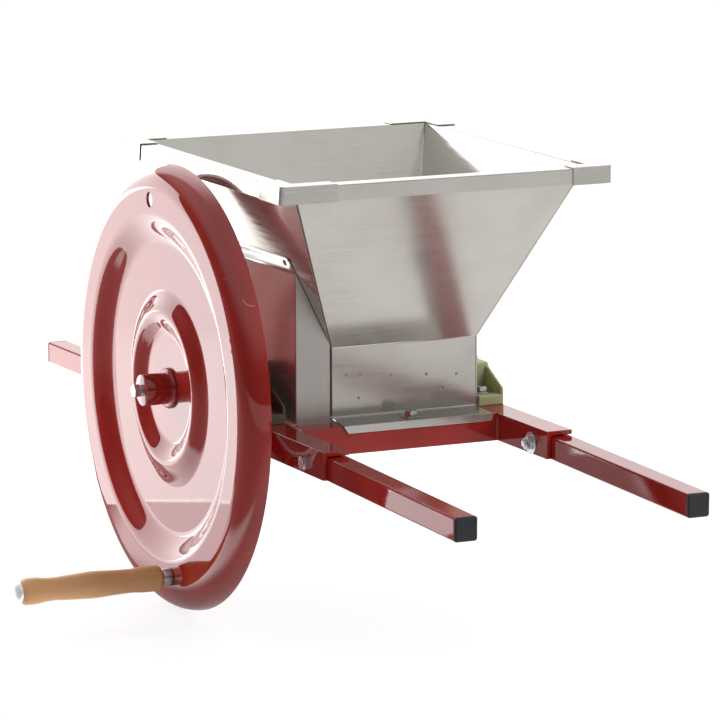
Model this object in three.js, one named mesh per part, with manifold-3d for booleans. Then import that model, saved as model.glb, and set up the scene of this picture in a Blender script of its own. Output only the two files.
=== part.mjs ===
// Hand-cranked apple mill: a stainless hopper over a toothed drum, turned by a pressed
// steel flywheel, on a welded angle-iron frame whose four arms rest on a barrel rim.
// Millimetres, +Z up. X runs along the drum shaft (flywheel at -X), Y from front to rear.
// The origin lies midway between the rails, level with their lower edges, below the shaft.
import * as THREE from 'three';
import { mergeVertices } from 'three/addons/utils/BufferGeometryUtils.js';
import Module from 'manifold-3d';

const wasm = await Module();
wasm.setup();
const { Manifold, Mesh: SolidMesh } = wasm;

// Frame of angle iron
const angleLeg = 30;
const angleThickness = 5;
const frameWidth = 290;
const railLength = 484;
const crossbarSpread = 252;

// Carrying arms of square tube
const armSection = 25;
const armWall = 2;
const armCorner = 2.5;
const frontArmReach = 298;
const rearArmReach = 306;
const armTail = 18;
const leftArmBoltSetback = 44;
const rightArmBoltSetback = 36;
const frontArmDroop = THREE.MathUtils.degToRad(1.1);
const rearArmDroop = THREE.MathUtils.degToRad(0.6);
const armTopGap = 0.6;
const capThickness = 4;
const capPlugLength = 18;
const capEdge = 1.2;

// Hopper sheet, its rim and its throat
const sheet = 1.5;
const throatLeft = -62;
const throatRight = 113;
const throatDepth = 160;
const throatHeight = 107.7;
const rimHeight = 304;
const rimLeft = -178;
const rimRight = 204;
const rimDepth = 430;
const rimFlange = 20.5;
const rimLip = 17;
const footStandoff = 3;
const footLip = 7;
const footLeftFlare = 6;
const footRightTaper = 5;
const footLipSlant = 5;
const footLipCorner = 2;
const footBoltX = 20;
const sideSkirtBottom = 6;
const shaftSlotMargin = 2.5;
const rimCorner = 4;
const rimCapLeg = 47;
const rimCapLongLeg = 64;
const rimCapSideLeg = 55;
const rimCapSheet = 1;
const rimCapOverhang = 0.8;

// Guard beside the flywheel
const guardFace = -104.8;
const guardProud = 5.5;
const guardSlit = 3;
const guardCorner = 6;
const guardBottom = 21;
const guardFlange = 20;
const guardRivetInset = 15;
const guardRivetRise = 13.5;
const rivetHeadRadius = 4.2;
const rivetHeadHeight = 1.6;
const rivetShankRadius = 1.8;

// Fixed counter comb behind the front skirt
const combTop = 84;
const combBottom = 45;
const combPlate = 2.5;
const combLedge = 5;
const combPitch = 15;
const combTipGap = 1.6;
const combSideGap = 3;

// Shaft, its bearings and the toothed drum
const shaftHeight = 63.3;
const shaftRadius = 12.5;
const shaftOverhang = 3;
const shoulderRadius = 17.5;
const shoulderLength = 12;
const collarRadius = 15;
const collarLength = 1.7;
const drumRadius = 56;
const drumWall = 4;
const drumWebThickness = 6;
const drumHubRadius = 21;
const drumWindowRadius = 11;
const drumEndGap = 2.5;
const toothReach = 70;
const toothWidth = 9;
const toothPitch = 18;
const toothBase = 15;
const toothRows = 8;
const blockHalfLength = 82;
const blockFloor = 11;
const blockEndHeight = 18.3;
const blockEndRound = 2.5;
const blockShoulderHeight = 40.5;
const blockShoulderHalf = 45;
const blockShoulderRound = 3.5;
const blockShoulderDrop = 3.7;
const blockBossRadius = 20.5;
const blockRib = 3.5;
const blockBoltOffset = 60;
const blockBoltShift = -2;

// Flywheel
const wheelFace = -229;
const wheelRadius = 240;
const wheelSheet = 3;
const wheelRimRadius = 27;
const faceRingWidth = 23;
const dishSlopeWidth = 36;
const annulusSink = 14.2;
const ridgeOuterRadius = 107;
const ridgeCrestRadius = 81;
const ridgeInnerRadius = 56;
const ridgeHeight = 9;
const wheelHoleRadius = 8.5;
const wheelHoleReach = 203;
const hubRadius = 17;
const hubReach = 32.2;
const hubBack = 26;
const hubEndWall = 4;
const hubWeld = 4.5;

// Crank handle
const crankAngle = THREE.MathUtils.degToRad(9);
const wheelHoleAngle = THREE.MathUtils.degToRad(4.5);
const pinRadius = 5;
const pinCollarRadius = 9.7;
const pinCollarLength = 11.2;
const gripLength = 160;
const gripShoulderRadius = 13.9;
const gripNeckRadius = 12.8;
const gripBellyRadius = 14.6;
const gripWaistRadius = 12.4;
const gripEndRadius = 14.4;
const endCapRadius = 11;
const endCapLength = 7;
const pinNutFlats = 17;
const pinNutHeight = 8;

// Metric 8 fasteners
const boltRadius = 4;
const boltFlats = 13;
const boltHead = 5.3;
const nutHeight = 6.5;
const washerThickness = 1.6;
const penny = 12;
const boltTail = 2.5;
const hubBoltHead = 6;
const hubBoltSpacer = 3.6;
const hubBoltDepth = 20;

// Clearances and facet counts
const gap = 0.3;
const pinGap = 0.4;
const holeGap = 0.35;
const smallSides = 12;
const roundSides = 24;
const drumSides = 32;
const wheelSides = 54;

const railTop = angleLeg;
const throatHalf = throatDepth / 2;
const rimHalf = rimDepth / 2;
const leftRailFace = -frameWidth / 2;
const rightRailFace = frameWidth / 2 - angleLeg;
const bearingCentre = frameWidth / 2 - angleLeg / 2;
const armAxisHeight = armSection / 2 - armTopGap;
const armBoltY = {
  left: railLength / 2 - leftArmBoltSetback,
  right: railLength / 2 - rightArmBoltSetback,
};
const footBoltY = crossbarSpread / 2 - angleLeg / 2 - 2;
const faceInnerRadius = wheelRadius - wheelRimRadius - faceRingWidth;
const annulusOuterRadius = faceInnerRadius - dishSlopeWidth;
const crankRadius = faceInnerRadius + faceRingWidth / 2;
const footEdge = crossbarSpread / 2 + footStandoff;

const paint = { color: 0x96231e, roughness: 0.16, metalness: 0.0 };
const stainless = { color: 0xb9b4ac, roughness: 0.3, metalness: 1.0 };
const zinc = { color: 0xc6c8ca, roughness: 0.25, metalness: 1.0 };
const finishes = {
  paint: new THREE.MeshStandardMaterial(paint),
  stainless: new THREE.MeshStandardMaterial(stainless),
  zinc: new THREE.MeshStandardMaterial(zinc),
  steel: new THREE.MeshStandardMaterial({ color: 0x9a9a98, roughness: 0.35, metalness: 1.0 }),
  nylon: new THREE.MeshStandardMaterial({ color: 0xcdd2a0, roughness: 0.5, metalness: 0.0 }),
  plastic: new THREE.MeshStandardMaterial({ color: 0x2d2d32, roughness: 0.5, metalness: 0.0 }),
  wood: new THREE.MeshStandardMaterial({ color: 0xbe8c5f, roughness: 0.55, metalness: 0.0 }),
};

const mill = new THREE.Group();

function addPiece(name, geometry, finish, parent = mill) {
  const mesh = new THREE.Mesh(geometry, finishes[finish]);
  mesh.name = name;
  parent.add(mesh);
  return mesh;
}

// Solids: a geometry with its faces turned outwards, merged so that it closes
function toSolid(geometry) {
  const bare = geometry.index ? geometry.toNonIndexed() : geometry.clone();
  bare.deleteAttribute('normal');
  bare.deleteAttribute('uv');
  const merged = mergeVertices(bare, 1e-4);
  const triVerts = Uint32Array.from(merged.index.array);
  const vertProperties = Float32Array.from(merged.attributes.position.array);
  const solid = new Manifold(new SolidMesh({ numProp: 3, vertProperties, triVerts }));
  if (solid.volume() > 0) {
    return solid;
  }
  for (let i = 0; i < triVerts.length; i += 3) {
    [triVerts[i], triVerts[i + 1]] = [triVerts[i + 1], triVerts[i]];
  }
  return new Manifold(new SolidMesh({ numProp: 3, vertProperties, triVerts }));
}

function toGeometry(solid) {
  const mesh = solid.getMesh();
  const geometry = new THREE.BufferGeometry();
  geometry.setAttribute('position', new THREE.BufferAttribute(Float32Array.from(mesh.vertProperties), 3));
  geometry.setIndex(new THREE.BufferAttribute(Uint32Array.from(mesh.triVerts), 1));
  geometry.computeVertexNormals();
  return geometry;
}

function joined(...geometries) {
  return geometries.map(toSolid).reduce((whole, next) => whole.add(next));
}

// Outlines
function outline(points, hole) {
  const shape = new THREE.Shape(points.map(([a, b]) => new THREE.Vector2(a, b)));
  if (hole) {
    shape.holes.push(new THREE.Path(hole.map(([a, b]) => new THREE.Vector2(a, b))));
  }
  return shape;
}

function rectangle(a0, a1, b0, b1) {
  return [[a0, b0], [a1, b0], [a1, b1], [a0, b1]];
}

function roundedSquare(half, radius) {
  const points = [];
  for (const [cx, cy, turn] of [[1, 1, 0], [-1, 1, 1], [-1, -1, 2], [1, -1, 3]]) {
    for (let i = 0; i <= 2; i += 1) {
      const angle = (turn + i / 2) * Math.PI / 2;
      points.push([
        cx * (half - radius) + radius * Math.cos(angle),
        cy * (half - radius) + radius * Math.sin(angle),
      ]);
    }
  }
  return points;
}

function hexagon(flats) {
  const corner = flats / Math.sqrt(3);
  const points = [];
  for (let i = 0; i < 6; i += 1) {
    points.push([corner * Math.cos(i * Math.PI / 3), corner * Math.sin(i * Math.PI / 3)]);
  }
  return points;
}

// A folded sheet: the polyline is one face, the other lies a thickness to its right
function foldedSheet(line, thickness) {
  const other = line.map((point, i) => {
    const normals = [];
    for (const [from, to] of [[i - 1, i], [i, i + 1]]) {
      if (from >= 0 && to < line.length) {
        const dx = line[to][0] - line[from][0];
        const dy = line[to][1] - line[from][1];
        const length = Math.hypot(dx, dy);
        normals.push([dy / length, -dx / length]);
      }
    }
    const [first, last] = [normals[0], normals[normals.length - 1]];
    const share = 1 + first[0] * last[0] + first[1] * last[1];
    return [
      point[0] + thickness * (first[0] + last[0]) / share,
      point[1] + thickness * (first[1] + last[1]) / share,
    ];
  });
  return outline([...line, ...other.reverse()]);
}

// Extrusions along each axis: outlines are (x, z) along Y, (y, z) along X, (x, y) along Z
const alongXBasis = new THREE.Matrix4().makeBasis(
  new THREE.Vector3(0, 1, 0),
  new THREE.Vector3(0, 0, 1),
  new THREE.Vector3(1, 0, 0),
);

function extrude(shape, depth) {
  return new THREE.ExtrudeGeometry(shape, { depth, bevelEnabled: false, curveSegments: 6 });
}

function alongX(shape, x0, x1) {
  return extrude(shape, x1 - x0).applyMatrix4(alongXBasis).translate(x0, 0, 0);
}

function alongY(shape, y0, y1) {
  return extrude(shape, y1 - y0).rotateX(Math.PI / 2).translate(0, y1, 0);
}

function alongZ(shape, z0, z1) {
  return extrude(shape, z1 - z0).translate(0, 0, z0);
}

function box(x0, x1, y0, y1, z0, z1) {
  const geometry = new THREE.BoxGeometry(x1 - x0, y1 - y0, z1 - z0);
  return geometry.translate((x0 + x1) / 2, (y0 + y1) / 2, (z0 + z1) / 2);
}

function rodX(radius, x0, x1, y = 0, z = 0, sides = roundSides) {
  const geometry = new THREE.CylinderGeometry(radius, radius, x1 - x0, sides);
  return geometry.rotateZ(Math.PI / 2).translate((x0 + x1) / 2, y, z);
}

function rodZ(radius, z0, z1, x = 0, y = 0, sides = roundSides) {
  const geometry = new THREE.CylinderGeometry(radius, radius, z1 - z0, sides);
  return geometry.rotateX(Math.PI / 2).translate(x, y, (z0 + z1) / 2);
}

// A turned piece about X: the profile is a closed ring of [x, radius] points
function turned(profile, sides = roundSides) {
  const ring = profile.map(([x, radius]) => new THREE.Vector2(radius, x));
  if (profile[0][1] > 0) {
    ring.push(ring[0].clone());
  }
  return new THREE.LatheGeometry(ring, sides).rotateZ(-Math.PI / 2);
}

function turnedPiece(profile, sides) {
  return toGeometry(toSolid(turned(profile, sides)));
}

// Fasteners lie along X with the bearing face of the head or nut at the origin
function boltGeometry(length, washer = 0, flats = boltFlats, head = boltHead) {
  const headSolid = alongX(outline(hexagon(flats)), -head - washer, -washer);
  const shank = rodX(boltRadius, -washer - head / 2, length, 0, 0, smallSides);
  if (washer === 0) {
    return toGeometry(joined(headSolid, shank));
  }
  return toGeometry(joined(headSolid, shank, rodX(penny, -washer, 0, 0, 0, 16)));
}

function nutGeometry(flats = boltFlats, height = nutHeight, bore = boltRadius + holeGap) {
  const blank = toSolid(alongX(outline(hexagon(flats)), 0, height));
  return toGeometry(blank.subtract(toSolid(rodX(bore, -1, height + 1, 0, 0, smallSides))));
}

function washerGeometry(radius) {
  const blank = toSolid(rodX(radius, 0, washerThickness));
  const hole = toSolid(rodX(boltRadius + holeGap, -1, washerThickness + 1, 0, 0, smallSides));
  return toGeometry(blank.subtract(hole));
}

// Welded frame: two rails and two crossbars of angle iron, the rails' legs at their left
function buildFrame() {
  const boltHole = (x0, x1, y) => toSolid(
    rodX(boltRadius + holeGap, x0, x1, y, armAxisHeight, smallSides),
  );
  const flangeHole = (x, y) => toSolid(
    rodZ(boltRadius + holeGap, railTop - angleThickness - 1, railTop + 1, x, y, smallSides),
  );
  for (const [name, face, centre, boltY] of [
    ['left_rail', leftRailFace, -bearingCentre, armBoltY.left],
    ['right_rail', rightRailFace, bearingCentre, armBoltY.right],
  ]) {
    const section = outline([
      [face, 0],
      [face + angleThickness, 0],
      [face + angleThickness, railTop - angleThickness],
      [face + angleLeg, railTop - angleThickness],
      [face + angleLeg, railTop],
      [face, railTop],
    ]);
    let rail = toSolid(alongY(section, -railLength / 2, railLength / 2));
    for (const side of [-1, 1]) {
      rail = rail.subtract(boltHole(face - 1, face + angleThickness + 1, side * boltY));
      rail = rail.subtract(flangeHole(centre + blockBoltShift, side * blockBoltOffset));
    }
    addPiece(name, toGeometry(rail), 'paint');
  }
  for (const [name, side] of [['front_crossbar', -1], ['rear_crossbar', 1]]) {
    const face = side * crossbarSpread / 2;
    const leg = face - side * angleThickness;
    const edge = face - side * angleLeg;
    const plate = box(
      leftRailFace + angleLeg, rightRailFace,
      Math.min(face, edge), Math.max(face, edge),
      railTop - angleThickness, railTop,
    );
    const web = box(
      leftRailFace + angleThickness, rightRailFace,
      Math.min(face, leg), Math.max(face, leg),
      0, railTop - angleThickness,
    );
    const bar = joined(plate, web).subtract(flangeHole(footBoltX, side * footBoltY));
    addPiece(name, toGeometry(bar), 'paint');
  }
}

// Four arms of square tube, each held in a rail's end by one bolt, round which it droops
function buildArms() {
  const half = armSection / 2;
  for (const [sideName, railFace] of [['left', leftRailFace], ['right', rightRailFace]]) {
    const boltY = armBoltY[sideName];
    for (const [endName, end, reach, droop] of [
      ['front', -1, frontArmReach, frontArmDroop],
      ['rear', 1, rearArmReach, -rearArmDroop],
    ]) {
      const name = `${endName}_${sideName}`;
      const arm = new THREE.Group();
      arm.position.set(railFace + angleThickness + gap + half, end * boltY, armAxisHeight);
      arm.rotation.x = droop;
      mill.add(arm);

      const face = end * (railLength / 2 + reach - capThickness - boltY);
      const span = (a, b) => [Math.min(a, b), Math.max(a, b)];
      const section = outline(
        roundedSquare(half, armCorner),
        rectangle(armWall - half, half - armWall, armWall - half, half - armWall),
      );
      const crossHole = toSolid(rodX(boltRadius + holeGap, -half - 1, half + 1, 0, 0, smallSides));
      const tube = toSolid(alongY(section, ...span(-end * armTail, face))).subtract(crossHole);
      addPiece(`arm_${name}`, toGeometry(tube), 'paint', arm);

      const tip = face + end * capThickness;
      const head = outline(roundedSquare(half, armCorner));
      const crown = outline(roundedSquare(half - capEdge, armCorner));
      const plugHalf = half - armWall - gap;
      const plug = outline(rectangle(-plugHalf, plugHalf, -plugHalf, plugHalf));
      addPiece(`arm_cap_${name}`, toGeometry(joined(
        alongY(head, ...span(face, tip - end * capEdge)),
        alongY(crown, ...span(face, tip)),
        alongY(plug, ...span(face + end, face - end * capPlugLength)),
      )), 'plastic', arm);
      addArmFastener(name, sideName, end * boltY, railFace);
    }
  }
}

// The left arms' bolts have their heads outside, the right arms' bolts their nuts inside
function addArmFastener(name, sideName, y, railFace) {
  const armFace = railFace + angleThickness + armSection + 2 * gap;
  const stack = armFace - railFace + washerThickness + nutHeight + boltTail;
  const bolt = addPiece(`arm_bolt_${name}`, boltGeometry(stack), 'zinc');
  const washer = addPiece(`arm_washer_${name}`, washerGeometry(penny), 'zinc');
  const nut = addPiece(`arm_nut_${name}`, nutGeometry(), 'zinc');
  if (sideName === 'left') {
    bolt.position.set(railFace, y, armAxisHeight);
    washer.position.set(armFace, y, armAxisHeight);
    nut.position.set(armFace + washerThickness, y, armAxisHeight);
  } else {
    bolt.position.set(armFace, y, armAxisHeight);
    bolt.rotation.z = Math.PI;
    washer.position.set(railFace - washerThickness, y, armAxisHeight);
    nut.position.set(railFace - washerThickness - nutHeight, y, armAxisHeight);
  }
}

// Hopper: four folded panels, each with its rim flange, its slope and its skirt
const slopeLeft = (throatLeft + sheet - rimLeft - rimFlange) / (rimHeight - throatHeight);
const slopeEnds = (rimHalf - rimFlange - throatHalf + sheet) / (rimHeight - throatHeight);

function planeSlab(corners, y0, y1) {
  return toSolid(alongY(outline(corners), y0, y1));
}

function roundedBlock(x0, x1, half, radius, top) {
  const points = [];
  for (const [cx, cy, turn] of [
    [x1 - radius, half - radius, 0],
    [x0 + radius, half - radius, 1],
    [x0 + radius, radius - half, 2],
    [x1 - radius, radius - half, 3],
  ]) {
    for (let i = 0; i <= 3; i += 1) {
      const angle = (turn + i / 3) * Math.PI / 2;
      points.push([cx + radius * Math.cos(angle), cy + radius * Math.sin(angle)]);
    }
  }
  return toSolid(alongZ(outline(points), -1, top));
}

function panelLine(rim, flange, throat, bottom) {
  return [
    [rim, rimHeight - rimLip],
    [rim, rimHeight],
    [flange, rimHeight],
    [throat, throatHeight],
    [throat, bottom],
  ];
}

// A foot folded outwards from an end panel's skirt, over the crossbar and down its face
function footSolid(side) {
  const left = throatLeft - footLeftFlare;
  const right = throatRight - footRightTaper;
  const skirt = side * (throatHalf - sheet);
  const edge = side * footEdge;
  const plate = alongZ(outline([
    [throatLeft + sheet + gap, skirt],
    [throatRight - sheet - gap, skirt],
    [throatRight - sheet - gap, side * (throatHalf + gap)],
    [right, edge],
    [left, edge],
    [throatLeft + sheet + gap, side * (throatHalf + gap)],
  ]), railTop, railTop + sheet);
  const lipTop = railTop + sheet;
  const lipBottom = railTop - footLip;
  const lip = alongY(outline([
    [left, lipTop],
    [left, railTop],
    [left + footLipSlant, lipBottom],
    [right - footLipCorner, lipBottom],
    [right, lipBottom + footLipCorner],
    [right, lipTop],
  ]), Math.min(edge, edge - side * sheet), Math.max(edge, edge - side * sheet));
  const hole = rodZ(
    boltRadius + holeGap, railTop - 1, lipTop + 1,
    footBoltX, side * footBoltY, smallSides,
  );
  return joined(plate, lip).subtract(toSolid(hole));
}

function buildHopper() {
  const wide = rimDepth;
  const above = rimHeight + 10;
  const innerLeft = throatLeft + sheet;
  const innerRight = throatRight - sheet;
  const flangeLeft = rimLeft + rimFlange;
  const flangeRight = rimRight - rimFlange;

  // The space between the side panels' inner faces, a gap inside them, holds both end panels
  const between = planeSlab([
    [innerLeft + gap, -1],
    [innerRight - gap, -1],
    [innerRight - gap, throatHeight],
    [flangeRight - gap, rimHeight],
    [flangeRight - gap, above],
    [flangeLeft + gap, above],
    [flangeLeft + gap, rimHeight],
    [innerLeft + gap, throatHeight],
  ], -wide, wide);
  const rimPlan = roundedBlock(rimLeft, rimRight, rimHalf, rimCorner, above);
  for (const [name, side] of [['hopper_front', -1], ['hopper_rear', 1]]) {
    const line = panelLine(rimHalf, rimHalf - rimFlange, throatHalf - sheet, railTop);
    const folded = foldedSheet(line.map(([y, z]) => [side * y, z]), -side * sheet);
    const panel = toSolid(alongX(folded, rimLeft, rimRight)).intersect(between).intersect(rimPlan);
    addPiece(name, toGeometry(panel.add(footSolid(side))), 'stainless');
  }

  // The side panels run out to the end panels' outer faces
  const slant = Math.hypot(1, slopeEnds);
  const outerEnds = (z) => throatHalf + Math.max(0, z - throatHeight) * slopeEnds + (slant - 1) * sheet;
  const lengthwise = toSolid(alongX(outline([
    [-throatHalf, -1],
    [throatHalf, -1],
    [throatHalf, throatHeight],
    [outerEnds(rimHeight), rimHeight],
    [rimHalf - rimFlange, above],
    [-rimHalf + rimFlange, above],
    [-outerEnds(rimHeight), rimHeight],
    [-throatHalf, throatHeight],
  ]), rimLeft - 1, rimRight + 1));
  const slotHalf = shaftRadius + shaftSlotMargin;
  for (const [name, rim, flange, throat, side] of [
    ['hopper_left', rimLeft, flangeLeft, innerLeft, -1],
    ['hopper_right', rimRight, flangeRight, innerRight, 1],
  ]) {
    const folded = foldedSheet(panelLine(rim, flange, throat, sideSkirtBottom), -side * sheet);
    const slot = joined(
      rodX(slotHalf, throat - 4, throat + 4, 0, shaftHeight),
      box(throat - 4, throat + 4, -slotHalf, slotHalf, sideSkirtBottom - 1, shaftHeight),
    );
    const whole = toSolid(alongY(folded, -rimHalf, rimHalf));
    const panel = whole.intersect(lengthwise).intersect(rimPlan).subtract(slot);
    addPiece(name, toGeometry(panel), 'stainless');
  }
}

// Pressed caps over the four rim corners: a flat top with a lip round its outer sides
function roundedCorner(inset, radius, farA, farB) {
  const points = [[farA, inset]];
  const steps = 4;
  for (let i = 0; i <= steps; i += 1) {
    const angle = Math.PI / 2 * (i / steps);
    points.push([
      inset + radius - radius * Math.sin(angle),
      inset + radius - radius * Math.cos(angle),
    ]);
  }
  points.push([inset, farB]);
  return points;
}

function buildRimCaps() {
  const outset = gap + rimCapSheet;
  const top = rimHeight + outset;
  const bottom = rimHeight - rimLip - rimCapOverhang;
  const land = rimFlange + outset;
  const radius = rimCorner + outset;
  for (const [name, signX, signY, leg] of [
    ['rim_cap_front_left', -1, -1, rimCapLongLeg],
    ['rim_cap_front_right', 1, -1, rimCapLeg],
    ['rim_cap_rear_left', -1, 1, rimCapLeg],
    ['rim_cap_rear_right', 1, 1, rimCapLongLeg],
  ]) {
    const cornerX = (signX < 0 ? rimLeft : rimRight) + signX * outset;
    const cornerY = signY * (rimHalf + outset);
    const place = (points) => outline(points.map(([a, b]) => [cornerX - signX * a, cornerY - signY * b]));
    const plan = roundedCorner(0, radius, leg, rimCapSideLeg);
    plan.push([land, rimCapSideLeg], [land, land], [leg, land]);
    const inside = roundedCorner(rimCapSheet, radius - rimCapSheet, leg + 1, rimCapSideLeg + 1);
    inside.push([leg + 1, rimCapSideLeg + 1]);
    const blank = toSolid(alongZ(place(plan), bottom, top));
    const hollow = toSolid(alongZ(place(inside), bottom - 1, top - rimCapSheet));
    addPiece(name, toGeometry(blank.subtract(hollow)), 'stainless');
  }
}

// Guard between the flywheel and the throat, riveted to the hopper's left slope
function buildGuard() {
  const slant = Math.hypot(1, slopeLeft);
  const foldZ = throatHeight + (throatLeft - (slant - 1) * sheet - gap - guardFace - sheet) / slopeLeft;
  const riseX = -guardFlange * slopeLeft / slant;
  const riseZ = guardFlange / slant;
  const half = throatHalf + guardProud;
  const inside = guardFace + sheet;
  const folded = foldedSheet([
    [inside, guardBottom],
    [inside, foldZ],
    [inside + riseX, foldZ + riseZ],
  ], -sheet);
  const faceSheet = alongY(folded, -half, half);
  const returnEdge = throatLeft - guardSlit;
  const returnShape = outline([
    [guardFace, guardBottom],
    [returnEdge, guardBottom],
    [returnEdge, throatHeight + (throatLeft - (slant - 1) * sheet - gap - returnEdge) / slopeLeft],
    [inside, foldZ],
    [guardFace, foldZ],
  ]);
  const slotHalf = shaftRadius + shaftSlotMargin;
  let guard = joined(
    faceSheet,
    alongY(returnShape, -half, -half + sheet),
    alongY(returnShape, half - sheet, half),
  );
  guard = guard.subtract(joined(
    rodX(slotHalf, guardFace - 2, inside + 2, 0, shaftHeight),
    box(guardFace - 2, inside + 2, -slotHalf, slotHalf, guardBottom - 1, shaftHeight),
  ));

  // The flange's free corners are rounded
  const flangeTop = foldZ + riseZ;
  for (const side of [-1, 1]) {
    const corner = [
      [side * (half + 1), flangeTop + 1],
      [side * (half - guardCorner), flangeTop + 1],
    ];
    for (let i = 0; i <= 4; i += 1) {
      const angle = Math.PI / 2 * (1 - i / 4);
      corner.push([
        side * (half - guardCorner + guardCorner * Math.cos(angle)),
        flangeTop - guardCorner + guardCorner * Math.sin(angle),
      ]);
    }
    corner.push([side * (half + 1), flangeTop - guardCorner]);
    guard = guard.subtract(toSolid(alongX(outline(corner), inside + riseX - 3, inside)));
  }

  // Blind rivets through the flange, square to the slope
  const midX = inside + riseX * guardRivetRise / guardFlange;
  const midZ = foldZ + riseZ * guardRivetRise / guardFlange;
  const tilt = -Math.atan(slopeLeft);
  for (const [name, side] of [['guard_rivet_front', -1], ['guard_rivet_rear', 1]]) {
    const y = side * (half - guardRivetInset);
    const hole = rodX(rivetShankRadius + holeGap, -8, 8, 0, 0, smallSides);
    hole.rotateY(tilt).translate(midX, y, midZ);
    guard = guard.subtract(toSolid(hole));
    const profile = [
      [-sheet - rivetHeadHeight, 0],
      [-sheet - rivetHeadHeight * 0.8, rivetHeadRadius * 0.6],
      [-sheet, rivetHeadRadius],
      [-sheet, rivetShankRadius],
      [0, rivetShankRadius],
      [0, 0],
    ];
    const rivet = addPiece(name, turnedPiece(profile, smallSides), 'zinc');
    rivet.position.set(midX, y, midZ);
    rivet.rotation.y = tilt;
  }
  addPiece('side_guard', toGeometry(guard), 'stainless');
}

// Fixed comb spot-welded behind the front skirt, its teeth just clear of the drum's
function buildComb() {
  const x0 = throatLeft + sheet + combSideGap;
  const x1 = throatRight - sheet - combSideGap;
  const back = -throatHalf + sheet;
  const tip = -toothReach - combTipGap;
  const plate = box(x0, x1, back, back + combPlate, combBottom, combTop);
  const ledgeZ = shaftHeight - combLedge / 2;
  const ledge = [];
  const count = Math.floor((x1 - x0) / combPitch);
  const margin = (x1 - x0 - count * combPitch) / 2;
  ledge.push([x0, back + 1], [x1, back + 1], [x1, back + combPlate + 1]);
  for (let i = count; i > 0; i -= 1) {
    const right = x0 + margin + i * combPitch;
    ledge.push([right - combPitch * 0.15, back + combPlate + 1]);
    ledge.push([right - combPitch * 0.3, tip]);
    ledge.push([right - combPitch * 0.7, tip]);
    ledge.push([right - combPitch * 0.85, back + combPlate + 1]);
  }
  ledge.push([x0, back + combPlate + 1]);
  const comb = joined(plate, alongZ(outline(ledge), ledgeZ, ledgeZ + combLedge));
  addPiece('counter_comb', toGeometry(comb), 'stainless');
}

// Bolts that hold the hopper's feet on the crossbars
function buildFootFasteners() {
  for (const [name, side] of [['front', -1], ['rear', 1]]) {
    const stack = sheet + angleThickness + nutHeight + boltTail;
    const bolt = addPiece(`foot_bolt_${name}`, boltGeometry(stack, washerThickness), 'zinc');
    bolt.position.set(footBoltX, side * footBoltY, railTop + sheet);
    bolt.rotation.y = Math.PI / 2;
    const nut = addPiece(`foot_nut_${name}`, nutGeometry(), 'zinc');
    nut.position.set(footBoltX, side * footBoltY, railTop - angleThickness);
    nut.rotation.y = Math.PI / 2;
  }
}

// Nylon bearing blocks bolted down on the rails, outside the throat
function buildBearings() {
  const shoulder = railTop + blockShoulderHeight;
  const end = railTop + blockEndHeight;
  const start = Math.asin((shoulder - shaftHeight) / blockBossRadius);
  const slope = [
    [blockHalfLength, end - blockEndRound],
    [blockHalfLength - blockEndRound * 0.3, end - blockEndRound * 0.2],
    [blockHalfLength - blockEndRound, end + blockEndRound * 0.4],
    [blockShoulderHalf, shoulder - blockShoulderDrop],
    [blockShoulderHalf - blockShoulderRound * 0.3, shoulder - blockShoulderDrop * 0.3],
    [blockShoulderHalf - blockShoulderRound, shoulder],
  ];
  const steps = 8;
  const crown = [];
  for (let i = 0; i <= steps; i += 1) {
    const angle = start + (Math.PI - 2 * start) * (i / steps);
    crown.push([blockBossRadius * Math.cos(angle), shaftHeight + blockBossRadius * Math.sin(angle)]);
  }
  const profile = outline([
    [-blockHalfLength, railTop],
    [blockHalfLength, railTop],
    ...slope,
    ...crown,
    ...slope.map(([y, z]) => [-y, z]).reverse(),
  ]);
  const half = angleLeg / 2;
  const bore = toSolid(rodX(shaftRadius + gap, -half - 1, half + 1, 0, shaftHeight, 32));
  const floor = railTop + blockFloor;
  for (const [name, centre] of [['left', -bearingCentre], ['right', bearingCentre]]) {
    let block = toSolid(alongX(profile, -half, half)).subtract(bore);
    for (const [end, side] of [['front', -1], ['rear', 1]]) {
      const near = side * blockShoulderHalf;
      const far = side * (blockHalfLength + 1);
      const pocket = box(
        -half - 1, half - blockRib,
        Math.min(near, far), Math.max(near, far),
        floor, shoulder + 1,
      );
      const x = blockBoltShift;
      const y = side * blockBoltOffset;
      const hole = rodZ(boltRadius + holeGap, railTop - 1, floor + 1, x, y, smallSides);
      block = block.subtract(toSolid(pocket)).subtract(toSolid(hole));
      const stack = blockFloor + angleThickness + nutHeight + boltTail;
      const bolt = addPiece(`bearing_bolt_${name}_${end}`, boltGeometry(stack, washerThickness), 'zinc');
      bolt.position.set(centre + x, y, floor);
      bolt.rotation.y = Math.PI / 2;
      const nut = addPiece(`bearing_nut_${name}_${end}`, nutGeometry(), 'zinc');
      nut.position.set(centre + x, y, railTop - angleThickness);
      nut.rotation.y = Math.PI / 2;
    }
    const mesh = addPiece(`bearing_block_${name}`, toGeometry(block), 'nylon');
    mesh.position.x = centre;
  }
}

// What turns: everything in this group lies about the shaft's axis
const rotor = new THREE.Group();
rotor.position.z = shaftHeight;
mill.add(rotor);

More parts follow.
